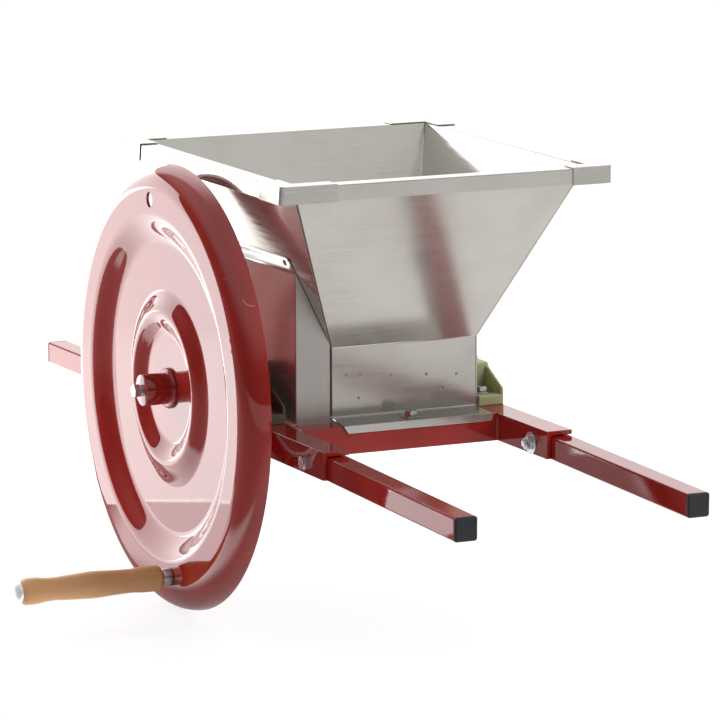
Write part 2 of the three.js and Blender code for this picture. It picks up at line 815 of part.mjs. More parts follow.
function buildShaft() {
  const leftEnd = wheelFace + annulusSink - hubReach + hubEndWall + gap;
  const rightBearing = bearingCentre + angleLeg / 2;
  const rightEnd = rightBearing + shaftOverhang;
  const shoulderEnd = -bearingCentre - angleLeg / 2 - gap;
  const shoulderStart = shoulderEnd - shoulderLength;
  addPiece('shaft', turnedPiece([
    [leftEnd + hubBoltDepth + 2, 0],
    [leftEnd + hubBoltDepth + 2, boltRadius + holeGap],
    [leftEnd, boltRadius + holeGap],
    [leftEnd, shaftRadius],
    [shoulderStart, shaftRadius],
    [shoulderStart, shoulderRadius],
    [shoulderEnd, shoulderRadius],
    [shoulderEnd, shaftRadius],
    [rightEnd, shaftRadius],
    [rightEnd, 0],
  ], roundSides), 'steel', rotor);

  const collarStart = rightBearing + gap;
  addPiece('shaft_collar', turnedPiece([
    [collarStart, shaftRadius + gap],
    [collarStart, collarRadius],
    [collarStart + collarLength, collarRadius],
    [collarStart + collarLength, shaftRadius + gap],
  ], roundSides), 'zinc', rotor);
}

// Toothed drum: a tube on two webs with windows, and rows of staggered hooked teeth
function buildDrum() {
  const x0 = throatLeft + sheet + drumEndGap;
  const x1 = throatRight - sheet - drumEndGap;
  const bore = shaftRadius + gap;
  const inner = drumRadius - drumWall;
  const web = drumWebThickness;
  let drum = toSolid(turned([
    [x0, bore],
    [x0, drumRadius],
    [x1, drumRadius],
    [x1, bore],
    [x1 - 2 * web, bore],
    [x1 - 2 * web, drumHubRadius],
    [x1 - web, drumHubRadius],
    [x1 - web, inner],
    [x0 + web, inner],
    [x0 + web, drumHubRadius],
    [x0 + 2 * web, drumHubRadius],
    [x0 + 2 * web, bore],
  ], drumSides));
  const windowRing = (drumHubRadius + inner) / 2;
  const windowRadius = Math.min(drumWindowRadius, (inner - drumHubRadius) / 2 - 2);
  for (let i = 0; i < 4; i += 1) {
    const angle = (i + 0.5) * Math.PI / 2;
    const window = rodX(
      windowRadius, x0 - 1, x1 + 1,
      windowRing * Math.cos(angle), windowRing * Math.sin(angle), 16,
    );
    drum = drum.subtract(toSolid(window));
  }
  const foot = drumRadius - drumWall / 2;
  const tooth = outline([
    [-toothBase / 2, foot],
    [toothBase / 2, foot],
    [toothBase / 5, toothReach],
    [-toothBase / 20, toothReach - 1],
  ]);
  const across = Math.floor((x1 - x0 - toothWidth - toothPitch / 2) / toothPitch) + 1;
  const run = (across - 1) * toothPitch + toothPitch / 2 + toothWidth;
  const start = x0 + (x1 - x0 - run) / 2;
  const teeth = [];
  for (let row = 0; row < toothRows; row += 1) {
    for (let i = 0; i < across; i += 1) {
      const x = start + i * toothPitch + (row % 2) * toothPitch / 2;
      const geometry = alongX(tooth, x, x + toothWidth).rotateX(row * 2 * Math.PI / toothRows);
      teeth.push(toSolid(geometry));
    }
  }
  addPiece('toothed_drum', toGeometry(Manifold.union([drum, ...teeth])), 'stainless', rotor);
}

// Flywheel: one pressed disc with a quarter-round rim, a sunk annulus and a raised ring
function buildFlywheel() {
  const sunk = wheelFace + annulusSink;
  const front = [[sunk, hubRadius + gap], [sunk, ridgeInnerRadius]];
  const ridgeSteps = 3;
  for (let i = 1; i < ridgeSteps * 2; i += 1) {
    const inwards = i <= ridgeSteps;
    const t = inwards ? i / ridgeSteps : (2 * ridgeSteps - i) / ridgeSteps;
    const foot = inwards ? ridgeInnerRadius : ridgeOuterRadius;
    const lift = ridgeHeight * (1 - Math.cos(Math.PI * t)) / 2;
    front.push([sunk - lift, foot + (ridgeCrestRadius - foot) * t]);
  }
  front.push([sunk, ridgeOuterRadius], [sunk, annulusOuterRadius]);
  const stepSteps = 3;
  for (let i = 1; i <= stepSteps; i += 1) {
    const t = i / stepSteps;
    const lift = annulusSink * (1 - Math.cos(Math.PI * t)) / 2;
    front.push([sunk - lift, annulusOuterRadius + (faceInnerRadius - annulusOuterRadius) * t]);
  }
  const arcSteps = 4;
  for (let i = 0; i <= arcSteps; i += 1) {
    const angle = Math.PI / 2 * (i / arcSteps);
    front.push([
      wheelFace + wheelRimRadius * (1 - Math.cos(angle)),
      wheelRadius - wheelRimRadius * (1 - Math.sin(angle)),
    ]);
  }
  const ring = foldedSheet(front, wheelSheet).getPoints(1).map((point) => [point.x, point.y]);
  const crankY = -crankRadius * Math.sin(crankAngle);
  const crankZ = -crankRadius * Math.cos(crankAngle);
  const x0 = wheelFace - 1;
  const x1 = wheelFace + wheelSheet + 1;
  let disc = toSolid(turned(ring, wheelSides));
  const holeY = wheelHoleReach * Math.sin(wheelHoleAngle);
  const holeZ = wheelHoleReach * Math.cos(wheelHoleAngle);
  disc = disc.subtract(toSolid(rodX(wheelHoleRadius, x0, x1, holeY, holeZ, 16)));
  disc = disc.subtract(toSolid(rodX(pinRadius + gap, x0, x1, crankY, crankZ, smallSides)));
  addPiece('flywheel_disc', toGeometry(disc), 'paint', rotor);

  const hubStart = sunk - hubReach;
  const hubEnd = sunk + hubBack;
  const bore = shaftRadius + gap;
  addPiece('flywheel_hub', turnedPiece([
    [hubStart, boltRadius + holeGap],
    [hubStart, hubRadius - 1],
    [hubStart + 1, hubRadius],
    [sunk - hubWeld, hubRadius],
    [sunk, hubRadius + hubWeld],
    [sunk, hubRadius],
    [hubEnd, hubRadius],
    [hubEnd, bore],
    [hubStart + hubEndWall, bore],
    [hubStart + hubEndWall, boltRadius + holeGap],
  ], roundSides), 'paint', rotor);

  const headSolid = alongX(outline(hexagon(boltFlats)), -hubBoltHead - hubBoltSpacer, -hubBoltSpacer);
  const spacer = rodX(boltFlats / 2, -hubBoltSpacer, 0, 0, 0, 16);
  const shank = rodX(boltRadius, -hubBoltSpacer - 1, hubEndWall + hubBoltDepth, 0, 0, smallSides);
  const bolt = addPiece('hub_bolt', toGeometry(joined(headSolid, spacer, shank)), 'zinc', rotor);
  bolt.position.x = hubStart;
}

// Crank handle: a shouldered pin through the rim's face, with a turned wooden grip on it
function buildHandle() {
  const handle = new THREE.Group();
  handle.position.y = -crankRadius * Math.sin(crankAngle);
  handle.position.z = -crankRadius * Math.cos(crankAngle);
  rotor.add(handle);
  const seat = wheelFace;
  const collarEnd = seat - pinCollarLength;
  const gripStart = collarEnd - gap;
  const gripEnd = gripStart - gripLength;
  const pinTip = gripEnd - gap - endCapLength + 3;
  const pinTail = seat + wheelSheet + pinNutHeight + 2;
  addPiece('handle_pin', turnedPiece([
    [pinTip, 0],
    [pinTip, pinRadius],
    [collarEnd, pinRadius],
    [collarEnd, pinCollarRadius - 1],
    [collarEnd + 1, pinCollarRadius],
    [seat, pinCollarRadius],
    [seat, pinRadius],
    [pinTail, pinRadius],
    [pinTail, 0],
  ], 18), 'zinc', handle);
  const nut = addPiece('pin_nut', nutGeometry(pinNutFlats, pinNutHeight, pinRadius + gap), 'zinc', handle);
  nut.position.x = seat + wheelSheet;

  const bore = pinRadius + pinGap;
  const along = (share, radius) => [gripStart - gripLength * share, radius];
  addPiece('grip', turnedPiece([
    along(0, bore),
    along(0, gripShoulderRadius - 3.3),
    along(0.012, gripShoulderRadius - 1.2),
    along(0.045, gripShoulderRadius),
    along(0.13, gripShoulderRadius - 0.1),
    along(0.22, gripNeckRadius),
    along(0.31, gripNeckRadius + 0.4),
    along(0.4, gripBellyRadius - 0.7),
    along(0.48, gripBellyRadius),
    along(0.57, gripBellyRadius - 0.5),
    along(0.68, (gripBellyRadius + gripWaistRadius) / 2 - 0.3),
    along(0.775, gripWaistRadius),
    along(0.84, gripWaistRadius + 0.6),
    along(0.895, gripEndRadius - 0.1),
    along(0.945, gripEndRadius),
    along(0.982, gripEndRadius - 0.8),
    along(1, gripEndRadius - 3.1),
    along(1, bore),
  ], 20), 'wood', handle);

  const capStart = gripEnd - gap;
  addPiece('grip_end_cap', turnedPiece([
    [capStart, pinRadius + gap],
    [capStart, endCapRadius],
    [capStart - endCapLength * 0.3, endCapRadius],
    [capStart - endCapLength * 0.65, endCapRadius * 0.8],
    [capStart - endCapLength * 0.92, endCapRadius * 0.45],
    [capStart - endCapLength, 0],
    [pinTip - gap, 0],
    [pinTip - gap, pinRadius + gap],
  ], 18), 'zinc', handle);
}

buildFrame();
buildArms();
buildHopper();
buildRimCaps();
buildGuard();
buildComb();
buildFootFasteners();
buildBearings();
buildShaft();
buildDrum();
buildFlywheel();
buildHandle();

export default mill;
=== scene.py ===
from math import copysign, cos, hypot, pi, radians, sin, tan

import bmesh
import bpy
import numpy as np
from mathutils import Matrix, Vector


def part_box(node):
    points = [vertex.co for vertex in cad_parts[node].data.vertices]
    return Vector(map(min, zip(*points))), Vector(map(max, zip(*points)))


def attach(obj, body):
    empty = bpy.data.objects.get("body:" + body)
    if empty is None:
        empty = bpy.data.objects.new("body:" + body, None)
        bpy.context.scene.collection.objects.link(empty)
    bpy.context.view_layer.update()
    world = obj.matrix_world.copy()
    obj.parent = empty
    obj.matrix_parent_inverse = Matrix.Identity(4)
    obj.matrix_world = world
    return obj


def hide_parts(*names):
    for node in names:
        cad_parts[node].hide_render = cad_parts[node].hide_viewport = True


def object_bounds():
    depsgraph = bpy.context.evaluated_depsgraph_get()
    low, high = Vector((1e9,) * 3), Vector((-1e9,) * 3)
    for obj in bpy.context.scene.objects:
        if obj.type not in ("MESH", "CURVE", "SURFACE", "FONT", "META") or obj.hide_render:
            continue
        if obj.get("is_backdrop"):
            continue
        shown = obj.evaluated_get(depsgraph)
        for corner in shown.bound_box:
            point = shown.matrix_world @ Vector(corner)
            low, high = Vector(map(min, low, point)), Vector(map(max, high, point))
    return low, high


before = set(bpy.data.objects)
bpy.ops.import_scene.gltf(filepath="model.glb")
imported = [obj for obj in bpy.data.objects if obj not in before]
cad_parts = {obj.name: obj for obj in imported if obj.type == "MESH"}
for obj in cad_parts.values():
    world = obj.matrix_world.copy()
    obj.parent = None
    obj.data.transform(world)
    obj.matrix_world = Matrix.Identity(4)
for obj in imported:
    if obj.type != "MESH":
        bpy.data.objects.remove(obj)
cad_low, cad_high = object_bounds()
scene = bpy.context.scene
scene.view_settings.view_transform = "Standard"

# Camera: a long lens a little above the mill, turned towards its crank side. The mill is
# photographed from about five metres, so that the perspective is slight.
camera_azimuth = radians(-25.08)
camera_elevation = radians(10.21)
camera_roll = radians(0.15)
camera_distance = 5.206
camera_aim = Vector((-0.0022, -0.0274, 0.0814))
camera_lens = 240.4
sensor_width = 36.0


def added(name, data):
    """A new object in the scene, with this camera, mesh or lamp"""
    thing = bpy.data.objects.new(name, data)
    scene.collection.objects.link(thing)
    return thing


camera = added("camera", bpy.data.cameras.new("camera"))
camera.data.lens = camera_lens
camera.data.sensor_width = sensor_width
camera.data.clip_end = 60.0
turn = Matrix.Rotation(camera_azimuth, 3, "Z")
turn = turn @ Matrix.Rotation(pi / 2 - camera_elevation, 3, "X")
turn = turn @ Matrix.Rotation(-camera_roll, 3, "Z")
camera.matrix_world = Matrix.LocRotScale(
    camera_aim + turn @ Vector((0, 0, camera_distance)), turn.to_quaternion(), None
)
scene.camera = camera

# Studio: a pale floor just under the flywheel, which keeps the mill's shadow, and a white
# surround. Metal and gloss paint mirror a darker room, with light behind and from above.
floor_half = 12.0
floor_gap = 0.0015
floor_colour = (0.8, 0.8, 0.8, 1)
floor_share = 0.22
floor_white, floor_far, far_fade = 0.83, 0.92, (0.9, 2.6)

# How brightly the floor shines in reflections, and between which distances each patch of
# light fades. The flat faces of the wheel mirror the floor along lines of slope mirror_run.
mirror_run, corner_run = 0.468, 1.03
floor_dark, floor_front, front_fade = 0.14, 0.6, (-1.35, -1.0)
floor_near, near_spot, near_fade = 0.6, (0.25, -0.35), (0.3, 0.75)
floor_patch, patch_left, patch_right = 1.9, (-0.48, -0.42), (-0.17, -0.13)
patch_inner, patch_back = (-0.32, -0.26), (0.714, 0.734)
corner_front, corner_left = (0.9, 0.98), (-0.66, -0.6)
floor_behind, behind_right, behind_front = 2.9, (0.04, 0.08), (0.62, 0.74)
behind_left, behind_far = (-0.05, 0.05), (1.1, 1.25)


def step(tree, kind, given, **settings):
    """One node of a tree, with its settings and with what each of its inputs is given"""
    node = tree.nodes.new(kind)
    for name, value in settings.items():
        setattr(node, name, value)
    for name, value in given.items():
        if isinstance(value, bpy.types.NodeSocket):
            tree.links.new(value, node.inputs[name])
        else:
            node.inputs[name].default_value = value
    return node.outputs


def sum_of(tree, operation, one, other=0.0):
    """One step of arithmetic in a tree"""
    return step(tree, "ShaderNodeMath", {0: one, 1: other}, operation=operation)[0]


def combined(tree, operation, total, *values):
    """The values taken together, one after another"""
    for value in values:
        total = sum_of(tree, operation, total, value)
    return total


def eased(tree, value, fade, low=0.0, high=1.0):
    """A smooth passage from low to high while the value runs through the fade"""
    return step(tree, "ShaderNodeMapRange", {
        "Value": value, "From Min": fade[0], "From Max": fade[1], "To Min": low, "To Max": high,
    }, interpolation_type="SMOOTHSTEP")["Result"]


floor_z = cad_low.z - floor_gap
floor_finish = bpy.data.materials.new("studio_floor")
floor_finish.use_nodes = True
tree = floor_finish.node_tree
tree.nodes.clear()
path = step(tree, "ShaderNodeLightPath", {})
seen, glossy = path["Is Camera Ray"], path["Is Glossy Ray"]
point = step(tree, "ShaderNodeTexCoord", {})["Object"]
place = step(tree, "ShaderNodeSeparateXYZ", {0: point})
x, y = place["X"], place["Y"]
spot = {0: point, 1: (*near_spot, floor_z)}
reach = step(tree, "ShaderNodeVectorMath", spot, operation="DISTANCE")["Value"]
sideways = combined(tree, "ADD", x, combined(tree, "MULTIPLY", y, mirror_run))
along = combined(tree, "SUBTRACT", y, combined(tree, "MULTIPLY", x, mirror_run))
oblique = combined(tree, "SUBTRACT", y, combined(tree, "MULTIPLY", x, corner_run))
corner = combined(
    tree, "MULTIPLY", eased(tree, oblique, corner_front), eased(tree, x, corner_left)
)
patch = combined(
    tree, "MULTIPLY", floor_patch,
    combined(tree, "MAXIMUM", corner, eased(tree, sideways, patch_left)),
    eased(tree, sideways, patch_right, 1, 0), eased(tree, along, patch_back, 1, 0),
    eased(tree, x, patch_inner, 1, 0),
)
beyond = combined(
    tree, "MULTIPLY", floor_behind,
    eased(tree, sideways, behind_right), eased(tree, y, behind_front),
    combined(tree, "MAXIMUM", eased(tree, x, behind_left, 1, 0), eased(tree, y, behind_far)),
)
mirrored = combined(
    tree, "ADD", patch, beyond, eased(tree, y, front_fade, floor_front, floor_dark),
    eased(tree, reach, near_fade, floor_near, 0),
)
white = combined(tree, "MULTIPLY", seen, eased(tree, reach, far_fade, floor_white, floor_far))
mirrored = combined(tree, "MULTIPLY", glossy, mirrored)
glow = step(tree, "ShaderNodeEmission", {"Strength": combined(tree, "ADD", white, mirrored)})
faint = step(tree, "ShaderNodeBsdfDiffuse", {"Color": (floor_share, floor_share, floor_share, 1)})
matt = step(tree, "ShaderNodeBsdfDiffuse", {"Color": floor_colour})
either = step(tree, "ShaderNodeMixShader", {
    0: combined(tree, "MAXIMUM", seen, glossy), 1: matt[0],
    2: step(tree, "ShaderNodeAddShader", {0: faint[0], 1: glow[0]})[0],
})
step(tree, "ShaderNodeOutputMaterial", {"Surface": either[0]})

floor_mesh = bpy.data.meshes.new("floor")
floor_mesh.from_pydata(
    [(x * floor_half, y * floor_half, floor_z) for x, y in ((-1, -1), (1, -1), (1, 1), (-1, 1))],
    [], [(0, 1, 2, 3)],
)
floor_mesh.materials.append(floor_finish)
floor = added("floor", floor_mesh)
floor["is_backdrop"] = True

# What the surround shows: white to the camera, dark to reflections save for a glow behind,
# between these directions, and from above
room_level = 0.28
room_behind, behind_side, behind_depth = 1.4, (-0.2, -0.08), (0.3, 0.7)
room_dark, room_above, above_rise = 0.1, 0.75, (0.2, 0.65)

world = bpy.data.worlds.new("studio")
world.use_nodes = True
scene.world = world
tree = world.node_tree
path = step(tree, "ShaderNodeLightPath", {})
direction = step(tree, "ShaderNodeTexCoord", {})["Generated"]
direction = step(tree, "ShaderNodeSeparateXYZ", {0: direction})
x, y, z = (direction[axis] for axis in "XYZ")
behind = combined(
    tree, "MULTIPLY", room_behind, eased(tree, x, behind_side), eased(tree, y, behind_depth)
)
above = eased(tree, z, above_rise, room_dark, room_above)
mirrored = combined(tree, "MULTIPLY", path["Is Glossy Ray"], combined(tree, "ADD", behind, above))
scattered = combined(
    tree, "MULTIPLY", path["Is Diffuse Ray"], combined(tree, "ADD", behind, room_level)
)
seen = combined(tree, "MAXIMUM", path["Is Camera Ray"], path["Is Transmission Ray"])
background = tree.nodes["Background"].inputs
tree.links.new(combined(tree, "ADD", mirrored, scattered, seen), background["Strength"])
background["Color"].default_value = (1, 1, 1, 1)


def softbox(name, place, target, size, brightness, mirrored=False, scattered=True):
    """A soft lamp of that brightness, where 1 is as bright as white paper"""
    lamp = added(name, bpy.data.lights.new(name, "AREA"))
    lamp.data.shape = "RECTANGLE"
    lamp.data.size, lamp.data.size_y = size
    lamp.data.energy = pi * size[0] * size[1] * brightness
    lamp.location = place
    lamp.rotation_euler = (Vector(target) - Vector(place)).to_track_quat("-Z", "Y").to_euler()
    lamp.visible_camera = False
    lamp.visible_glossy = mirrored
    lamp.visible_diffuse = scattered


# Two cards behind the crank side, which the flat faces of the wheel mirror and which light
# nothing, and four soft lamps, which light the mill and show in no reflection
for name, place, target, size in (
    ("low_card", (-0.447, 0.505, 0), (-0.199, -0.025, 0), (0.266, 0.4)),
    ("high_card", (-0.281, 0.583, 0.34), (-0.033, 0.053, 0.34), (0.63, 0.28)),
):
    softbox(name, place, target, size, 3.35, mirrored=True, scattered=False)
for name, place, target, width, brightness in (
    ("box_crank_side", (-1.1, 1.2, 0.5), (-0.2, 0.2, 0.05), 1.0, 6.0),
    ("box_behind", (0.5, 1.3, 0.0), (-0.2, 0, 0.08), 0.8, 20),
    ("box_overhead", (0.3, -0.2, 1.9), (0, 0, 0), 1.8, 1.3),
    ("box_front", (1.6, -2.2, 1.3), (0, 0, 0.1), 1.4, 6.5),
):
    softbox(name, place, target, (width, width), brightness)

# Welded frame: two rails and two crossbars of hot-rolled angle, 30 x 30 x 5, cut square,
# welded in the corners and sprayed with gloss red enamel. The edges keep a small radius.
angle_edge = 0.0009
edge_steps = 3
bead_radius = 0.0028
bead_ripple = 0.0032
ripple_depth = 0.12
ripple_points = 6.0
bead_sides = 10


def new_finish(name, colour, dull, metallic=0.0, clouds=None, bumps=None, more=()):
    """A material. Dull is one value, or a pattern's fineness and what it runs between.
    Clouds are their fineness and other colour, bumps their fineness, detail and height."""
    finish = bpy.data.materials.new(name)
    finish.use_nodes = True
    shader = finish.node_tree.nodes["Principled BSDF"]
    patterned = isinstance(dull, tuple)
    plain = {"Base Color": (*colour, 1), "Roughness": dull[1] if patterned else dull}
    for socket, value in {**plain, "Metallic": metallic, **dict(more)}.items():
        shader.inputs[socket].default_value = value
    if clouds:
        share = ranged(finish, grain(finish, clouds[0]), 0, 1)
        varied(finish, "Base Color", blended(finish, share, colour, clouds[1]))
    if patterned:
        varied(finish, "Roughness", ranged(finish, grain(finish, dull[0]), *dull[1:]))
    if bumps:
        relief(finish, (grain(finish, *bumps[:2]), bumps[2]))
    return finish


def varied(finish, socket, pattern):
    """A pattern in place of one of a finish's plain values"""
    finish.node_tree.links.new(pattern, finish.node_tree.nodes["Principled BSDF"].inputs[socket])


def grain(finish, scale, detail=3.0, stretch=(1, 1, 1), shift=(0, 0, 0)):
    """Noise with that many features in a metre, drawn out along an axis by a small stretch"""
    tree = finish.node_tree
    place = {"Vector": step(tree, "ShaderNodeTexCoord", {})["Object"]}
    place = step(tree, "ShaderNodeMapping", {**place, "Scale": stretch, "Location": shift})[0]
    noise = {"Vector": place, "Scale": scale, "Detail": detail}
    return step(tree, "ShaderNodeTexNoise", noise)["Fac"]


def ranged(finish, value, low, high, start=0.3, end=0.7):
    """The pattern spread from low to high"""
    return step(finish.node_tree, "ShaderNodeMapRange", {
        "Value": value, "From Min": start, "From Max": end, "To Min": low, "To Max": high,
    })["Result"]


def blended(finish, share, *colours):
    """One colour passing into another; each is plain or the output of a pattern"""
    one, other = ((*part, 1) if isinstance(part, tuple) else part for part in colours)
    mix = {"Factor": share, "A": one, "B": other}
    return step(finish.node_tree, "ShaderNodeMix", mix, data_type="RGBA")["Result"]


def relief(finish, *layers):
    """Bumps one over another, each a pattern and its height in metres"""
    below = {}
    for pattern, height in layers:
        bump = {"Strength": 1.0, "Distance": height, "Height": pattern, **below}
        below = {"Normal": step(finish.node_tree, "ShaderNodeBump", bump)["Normal"]}
    varied(finish, "Normal", below["Normal"])
    return below["Normal"]


def enamel(name, waviness):
    """Gloss red enamel with its orange peel, faint clouds and a few dull scuffs"""
    finish = new_finish(name, (0.30, 0.016, 0.012), 0.2, more={
        "Specular IOR Level": 0.0, "Coat Weight": 1.0, "Coat Roughness": 0.03, "Coat IOR": 1.6,
    })
    clouds = ranged(finish, grain(finish, 14), 0, 1)
    scuffs = ranged(finish, grain(finish, 60, 6, (1, 0.25, 1)), 0, 1, 0.68, 0.74)
    deep = blended(finish, clouds, (0.315, 0.018, 0.013), (0.262, 0.0125, 0.0095))
    varied(finish, "Base Color", blended(finish, scuffs, deep, (0.36, 0.05, 0.04)))
    varied(finish, "Roughness", ranged(finish, scuffs, 0.18, 0.34, 0, 1))
    orange_peel = (grain(finish, 420, 2), 0.000012)
    varied(finish, "Coat Normal", relief(finish, (grain(finish, 7, 1), waviness), orange_peel))
    return finish


def shaded(mesh, angle=32):
    """Smooth shading that stops at edges sharper than this angle"""
    mesh.shade_smooth()
    mesh.set_sharp_from_angle(angle=radians(angle))


def settled(name, holder):
    """The plain mesh that a piece's modifiers leave, as a new object of that name"""
    seen = bpy.context.evaluated_depsgraph_get()
    mesh = bpy.data.meshes.new_from_object(holder.evaluated_get(seen), depsgraph=seen)
    bpy.data.objects.remove(holder)
    mesh.name = name
    return added(name, mesh)


def merged_copy(node, seam=None):
    """A node's solid with its triangles joined into flat faces, parted at x where it has a seam"""
    work = bmesh.new()
    work.from_mesh(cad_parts[node].data)
    bmesh.ops.remove_doubles(work, verts=work.verts, dist=2e-6)
    if seam is not None:
        everything = work.verts[:] + work.edges[:] + work.faces[:]
        parted = bmesh.ops.bisect_plane(
            work, geom=everything, dist=1e-6, plane_co=(seam, 0, 0), plane_no=(1, 0, 0)
        )
        for part in parted["geom_cut"]:
            if isinstance(part, bmesh.types.BMEdge):
                part.seam = True
    bmesh.ops.dissolve_limit(
        work, angle_limit=radians(0.6), verts=work.verts, edges=work.edges, delimit={"SEAM"}
    )
    return work


def flattened(mesh):
    """Shading that leaves the flats flat: a point takes the direction of its broadest flat"""
    around = [{} for point in mesh.vertices]
    for face in mesh.polygons:
        flat = tuple(round(part, 2) + 0.0 for part in face.normal)
        for index in face.vertices:
            area, normal = around[index].get(flat, (0.0, face.normal))
            around[index][flat] = (area + face.area, normal)
    normals = []
    for flats in around:
        ranked = sorted(flats.values(), key=lambda one: -one[0]) or [(0.0, Vector((0, 0, 1)))]
        if len(ranked) > 1 and ranked[0][0] < ranked[1][0] * 3:
            normals.append(sum((normal * area for area, normal in ranked), Vector()).normalized())
        else:
            normals.append(ranked[0][1].normalized())
    mesh.normals_split_custom_set_from_vertices(normals)


def dressed(name, node, finish, edge, fold=None, broad=9e-4, corner=28, seam=None, bent=None):
    """A node's solid with its edges rounded, and its folds, between broad faces, rounded more"""
    work = merged_copy(node, seam)
    for point in work.verts:
        if bent:
            bent(point.co)
    weights = work.edges.layers.float.new("bevel_weight_edge")
    widest = max(edge, fold or 0)
    for line in work.edges:
        if len(line.link_faces) != 2 or line.calc_face_angle(0) < radians(corner):
            continue
        folded = fold and all(face.calc_area() > broad for face in line.link_faces)
        line[weights] = (fold if folded else edge) / widest
    mesh = bpy.data.meshes.new(name)
    work.to_mesh(mesh)
    work.free()
    holder = added(name + "_blank", mesh)
    bevel = holder.modifiers.new("edges", "BEVEL")
    bevel.limit_method = "WEIGHT"
    bevel.width = widest
    bevel.segments = edge_steps
    bevel.use_clamp_overlap = False
    shaded(mesh, 80)
    piece = settled(name, holder)
    flattened(piece.data)
    piece.data.materials.clear()
    piece.data.materials.append(finish)
    return piece


def fitted(piece, body, slot, *nodes):
    """The piece rides on its body and stands for its nodes. The slot is not used."""
    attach(piece, body)
    if nodes:
        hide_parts(*nodes)


def clad(prefix, nodes, slot, finish, edge, **how):
    """The solid of each of these nodes of the stand, dressed, under a name with this prefix"""
    for node in nodes:
        fitted(dressed(prefix + node, node, finish, edge, **how), "stand", slot, node)


def start_tree(name, sizes):
    """A geometry tree with a named input for each size and one for its finish"""
    tree = bpy.data.node_groups.new(name, "GeometryNodeTree")
    tree.interface.new_socket("Geometry", in_out="INPUT", socket_type="NodeSocketGeometry")
    for label, kind in {**sizes, "Finish": "Material"}.items():
        tree.interface.new_socket(label, in_out="INPUT", socket_type="NodeSocket" + kind)
    tree.interface.new_socket("Geometry", in_out="OUTPUT", socket_type="NodeSocketGeometry")
    return tree, tree.nodes.new("NodeGroupInput").outputs, tree.nodes.new("NodeGroupOutput").inputs


def ended(tree, shape, given, made):
    """The tree with its end: the shape made real, and in the finish that it is given"""
    shape = step(tree, "GeometryNodeRealizeInstances", {"Geometry": shape})[0]
    skin = {"Geometry": shape, "Material": given["Finish"]}
    tree.links.new(step(tree, "GeometryNodeSetMaterial", skin)[0], made["Geometry"])
    return tree


def grown(name, tree, mesh, sizes):
    """The plain mesh that a tree makes of a mesh, with its sizes set"""
    holder = added(name + "_line", mesh)
    modifier = holder.modifiers.new("tree", "NODES")
    modifier.node_group = tree
    for item in tree.interface.items_tree:
        if item.in_out == "INPUT" and item.name in sizes:
            modifier[item.identifier] = sizes[item.name]
    return settled(name, holder)


def lines(name, runs):
    """A mesh of open lines through these points"""
    mesh = bpy.data.meshes.new(name)
    points = [point for run in runs for point in run]
    edges = []
    first = 0
    for run in runs:
        edges += [(first + i, first + i + 1) for i in range(len(run) - 1)]
        first += len(run)
    mesh.from_pydata(points, edges, [])
    return mesh


frame_red = enamel("frame_enamel", 0.00015)
framework = ("left_rail", "right_rail", "front_crossbar", "rear_crossbar")
clad("painted_", framework, "red_paint", frame_red, angle_edge)

tree, given, made = start_tree("weld bead", {
    "Bead radius": "Float", "Ripple length": "Float", "Ripple depth": "Float",
})
curve = step(tree, "GeometryNodeMeshToCurve", {"Mesh": given["Geometry"]})["Curve"]
spaced = {"Curve": curve, "Length": sum_of(tree, "DIVIDE", given["Ripple length"], ripple_points)}
curve = step(tree, "GeometryNodeResampleCurve", spaced, mode="LENGTH")[0]
along = step(tree, "GeometryNodeSplineParameter", {})["Length"]
wave = sum_of(tree, "MULTIPLY", along, 2 * pi)
wave = sum_of(tree, "SINE", sum_of(tree, "DIVIDE", wave, given["Ripple length"]))
wave = sum_of(tree, "ADD", sum_of(tree, "MULTIPLY", wave, given["Ripple depth"]), 1.0)
curve = step(tree, "GeometryNodeSetCurveRadius", {"Curve": curve, "Radius": wave})[0]
ring = {"Resolution": bead_sides, "Radius": given["Bead radius"]}
ring = step(tree, "GeometryNodeCurvePrimitiveCircle", ring)[0]
bead = {"Curve": curve, "Profile Curve": ring, "Fill Caps": True}
bead_tree = ended(tree, step(tree, "GeometryNodeCurveToMesh", bead)[0], given, made)


def beaded(name, runs, radius, ripple, depth, finish, body="stand", slot="red_paint"):
    """A rippled bead along these runs of points"""
    bead = grown(name, bead_tree, lines(name, runs), {
        "Bead radius": radius, "Ripple length": ripple, "Ripple depth": depth, "Finish": finish,
    })
    shaded(bead.data, 60)
    fitted(bead, body, slot)


bead_runs = []
for crossbar in ("front_crossbar", "rear_crossbar"):
    low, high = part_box(crossbar)
    outer, inner = (low.y, high.y) if crossbar == "front_crossbar" else (high.y, low.y)
    sink = copysign(bead_radius * 0.35, inner - outer)
    upright = (high.z - bead_radius * 0.9, low.z + 0.002)
    for x in (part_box("left_rail")[1].x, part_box("right_rail")[0].x):
        bead_runs.append([(x, outer + sink * 0.2, z) for z in upright])
        bead_runs.append([(x, y, high.z - bead_radius * 0.75) for y in (outer + sink, inner)])
beaded("frame_welds", bead_runs, bead_radius, bead_ripple, ripple_depth, frame_red)

# Carrying arms: four lengths of 25 mm square tube, bolted into the ends of the rails and
# enamelled with them. Their drawn corners are rounded, and they droop a little.
tube_edge = 0.0006
arm_ends = [f"{end}_{side}" for end in ("front", "rear") for side in ("left", "right")]

clad("painted_", ["arm_" + end for end in arm_ends], "red_paint", frame_red, tube_edge)

# Arm caps: black polythene plugs, injection-moulded with a matt skin. Each is pushed into the
# outer end of an arm, where its own grip holds it.
cap_edge = 0.0006

cap_black = new_finish(
    "moulded_black", (0.015, 0.015, 0.018), (90, 0.36, 0.52),
    clouds=(25, (0.024, 0.024, 0.028)), bumps=(1500, 2, 0.00003),
)
clad("moulded_", ["arm_cap_" + end for end in arm_ends], "black_plastic", cap_black, cap_edge)

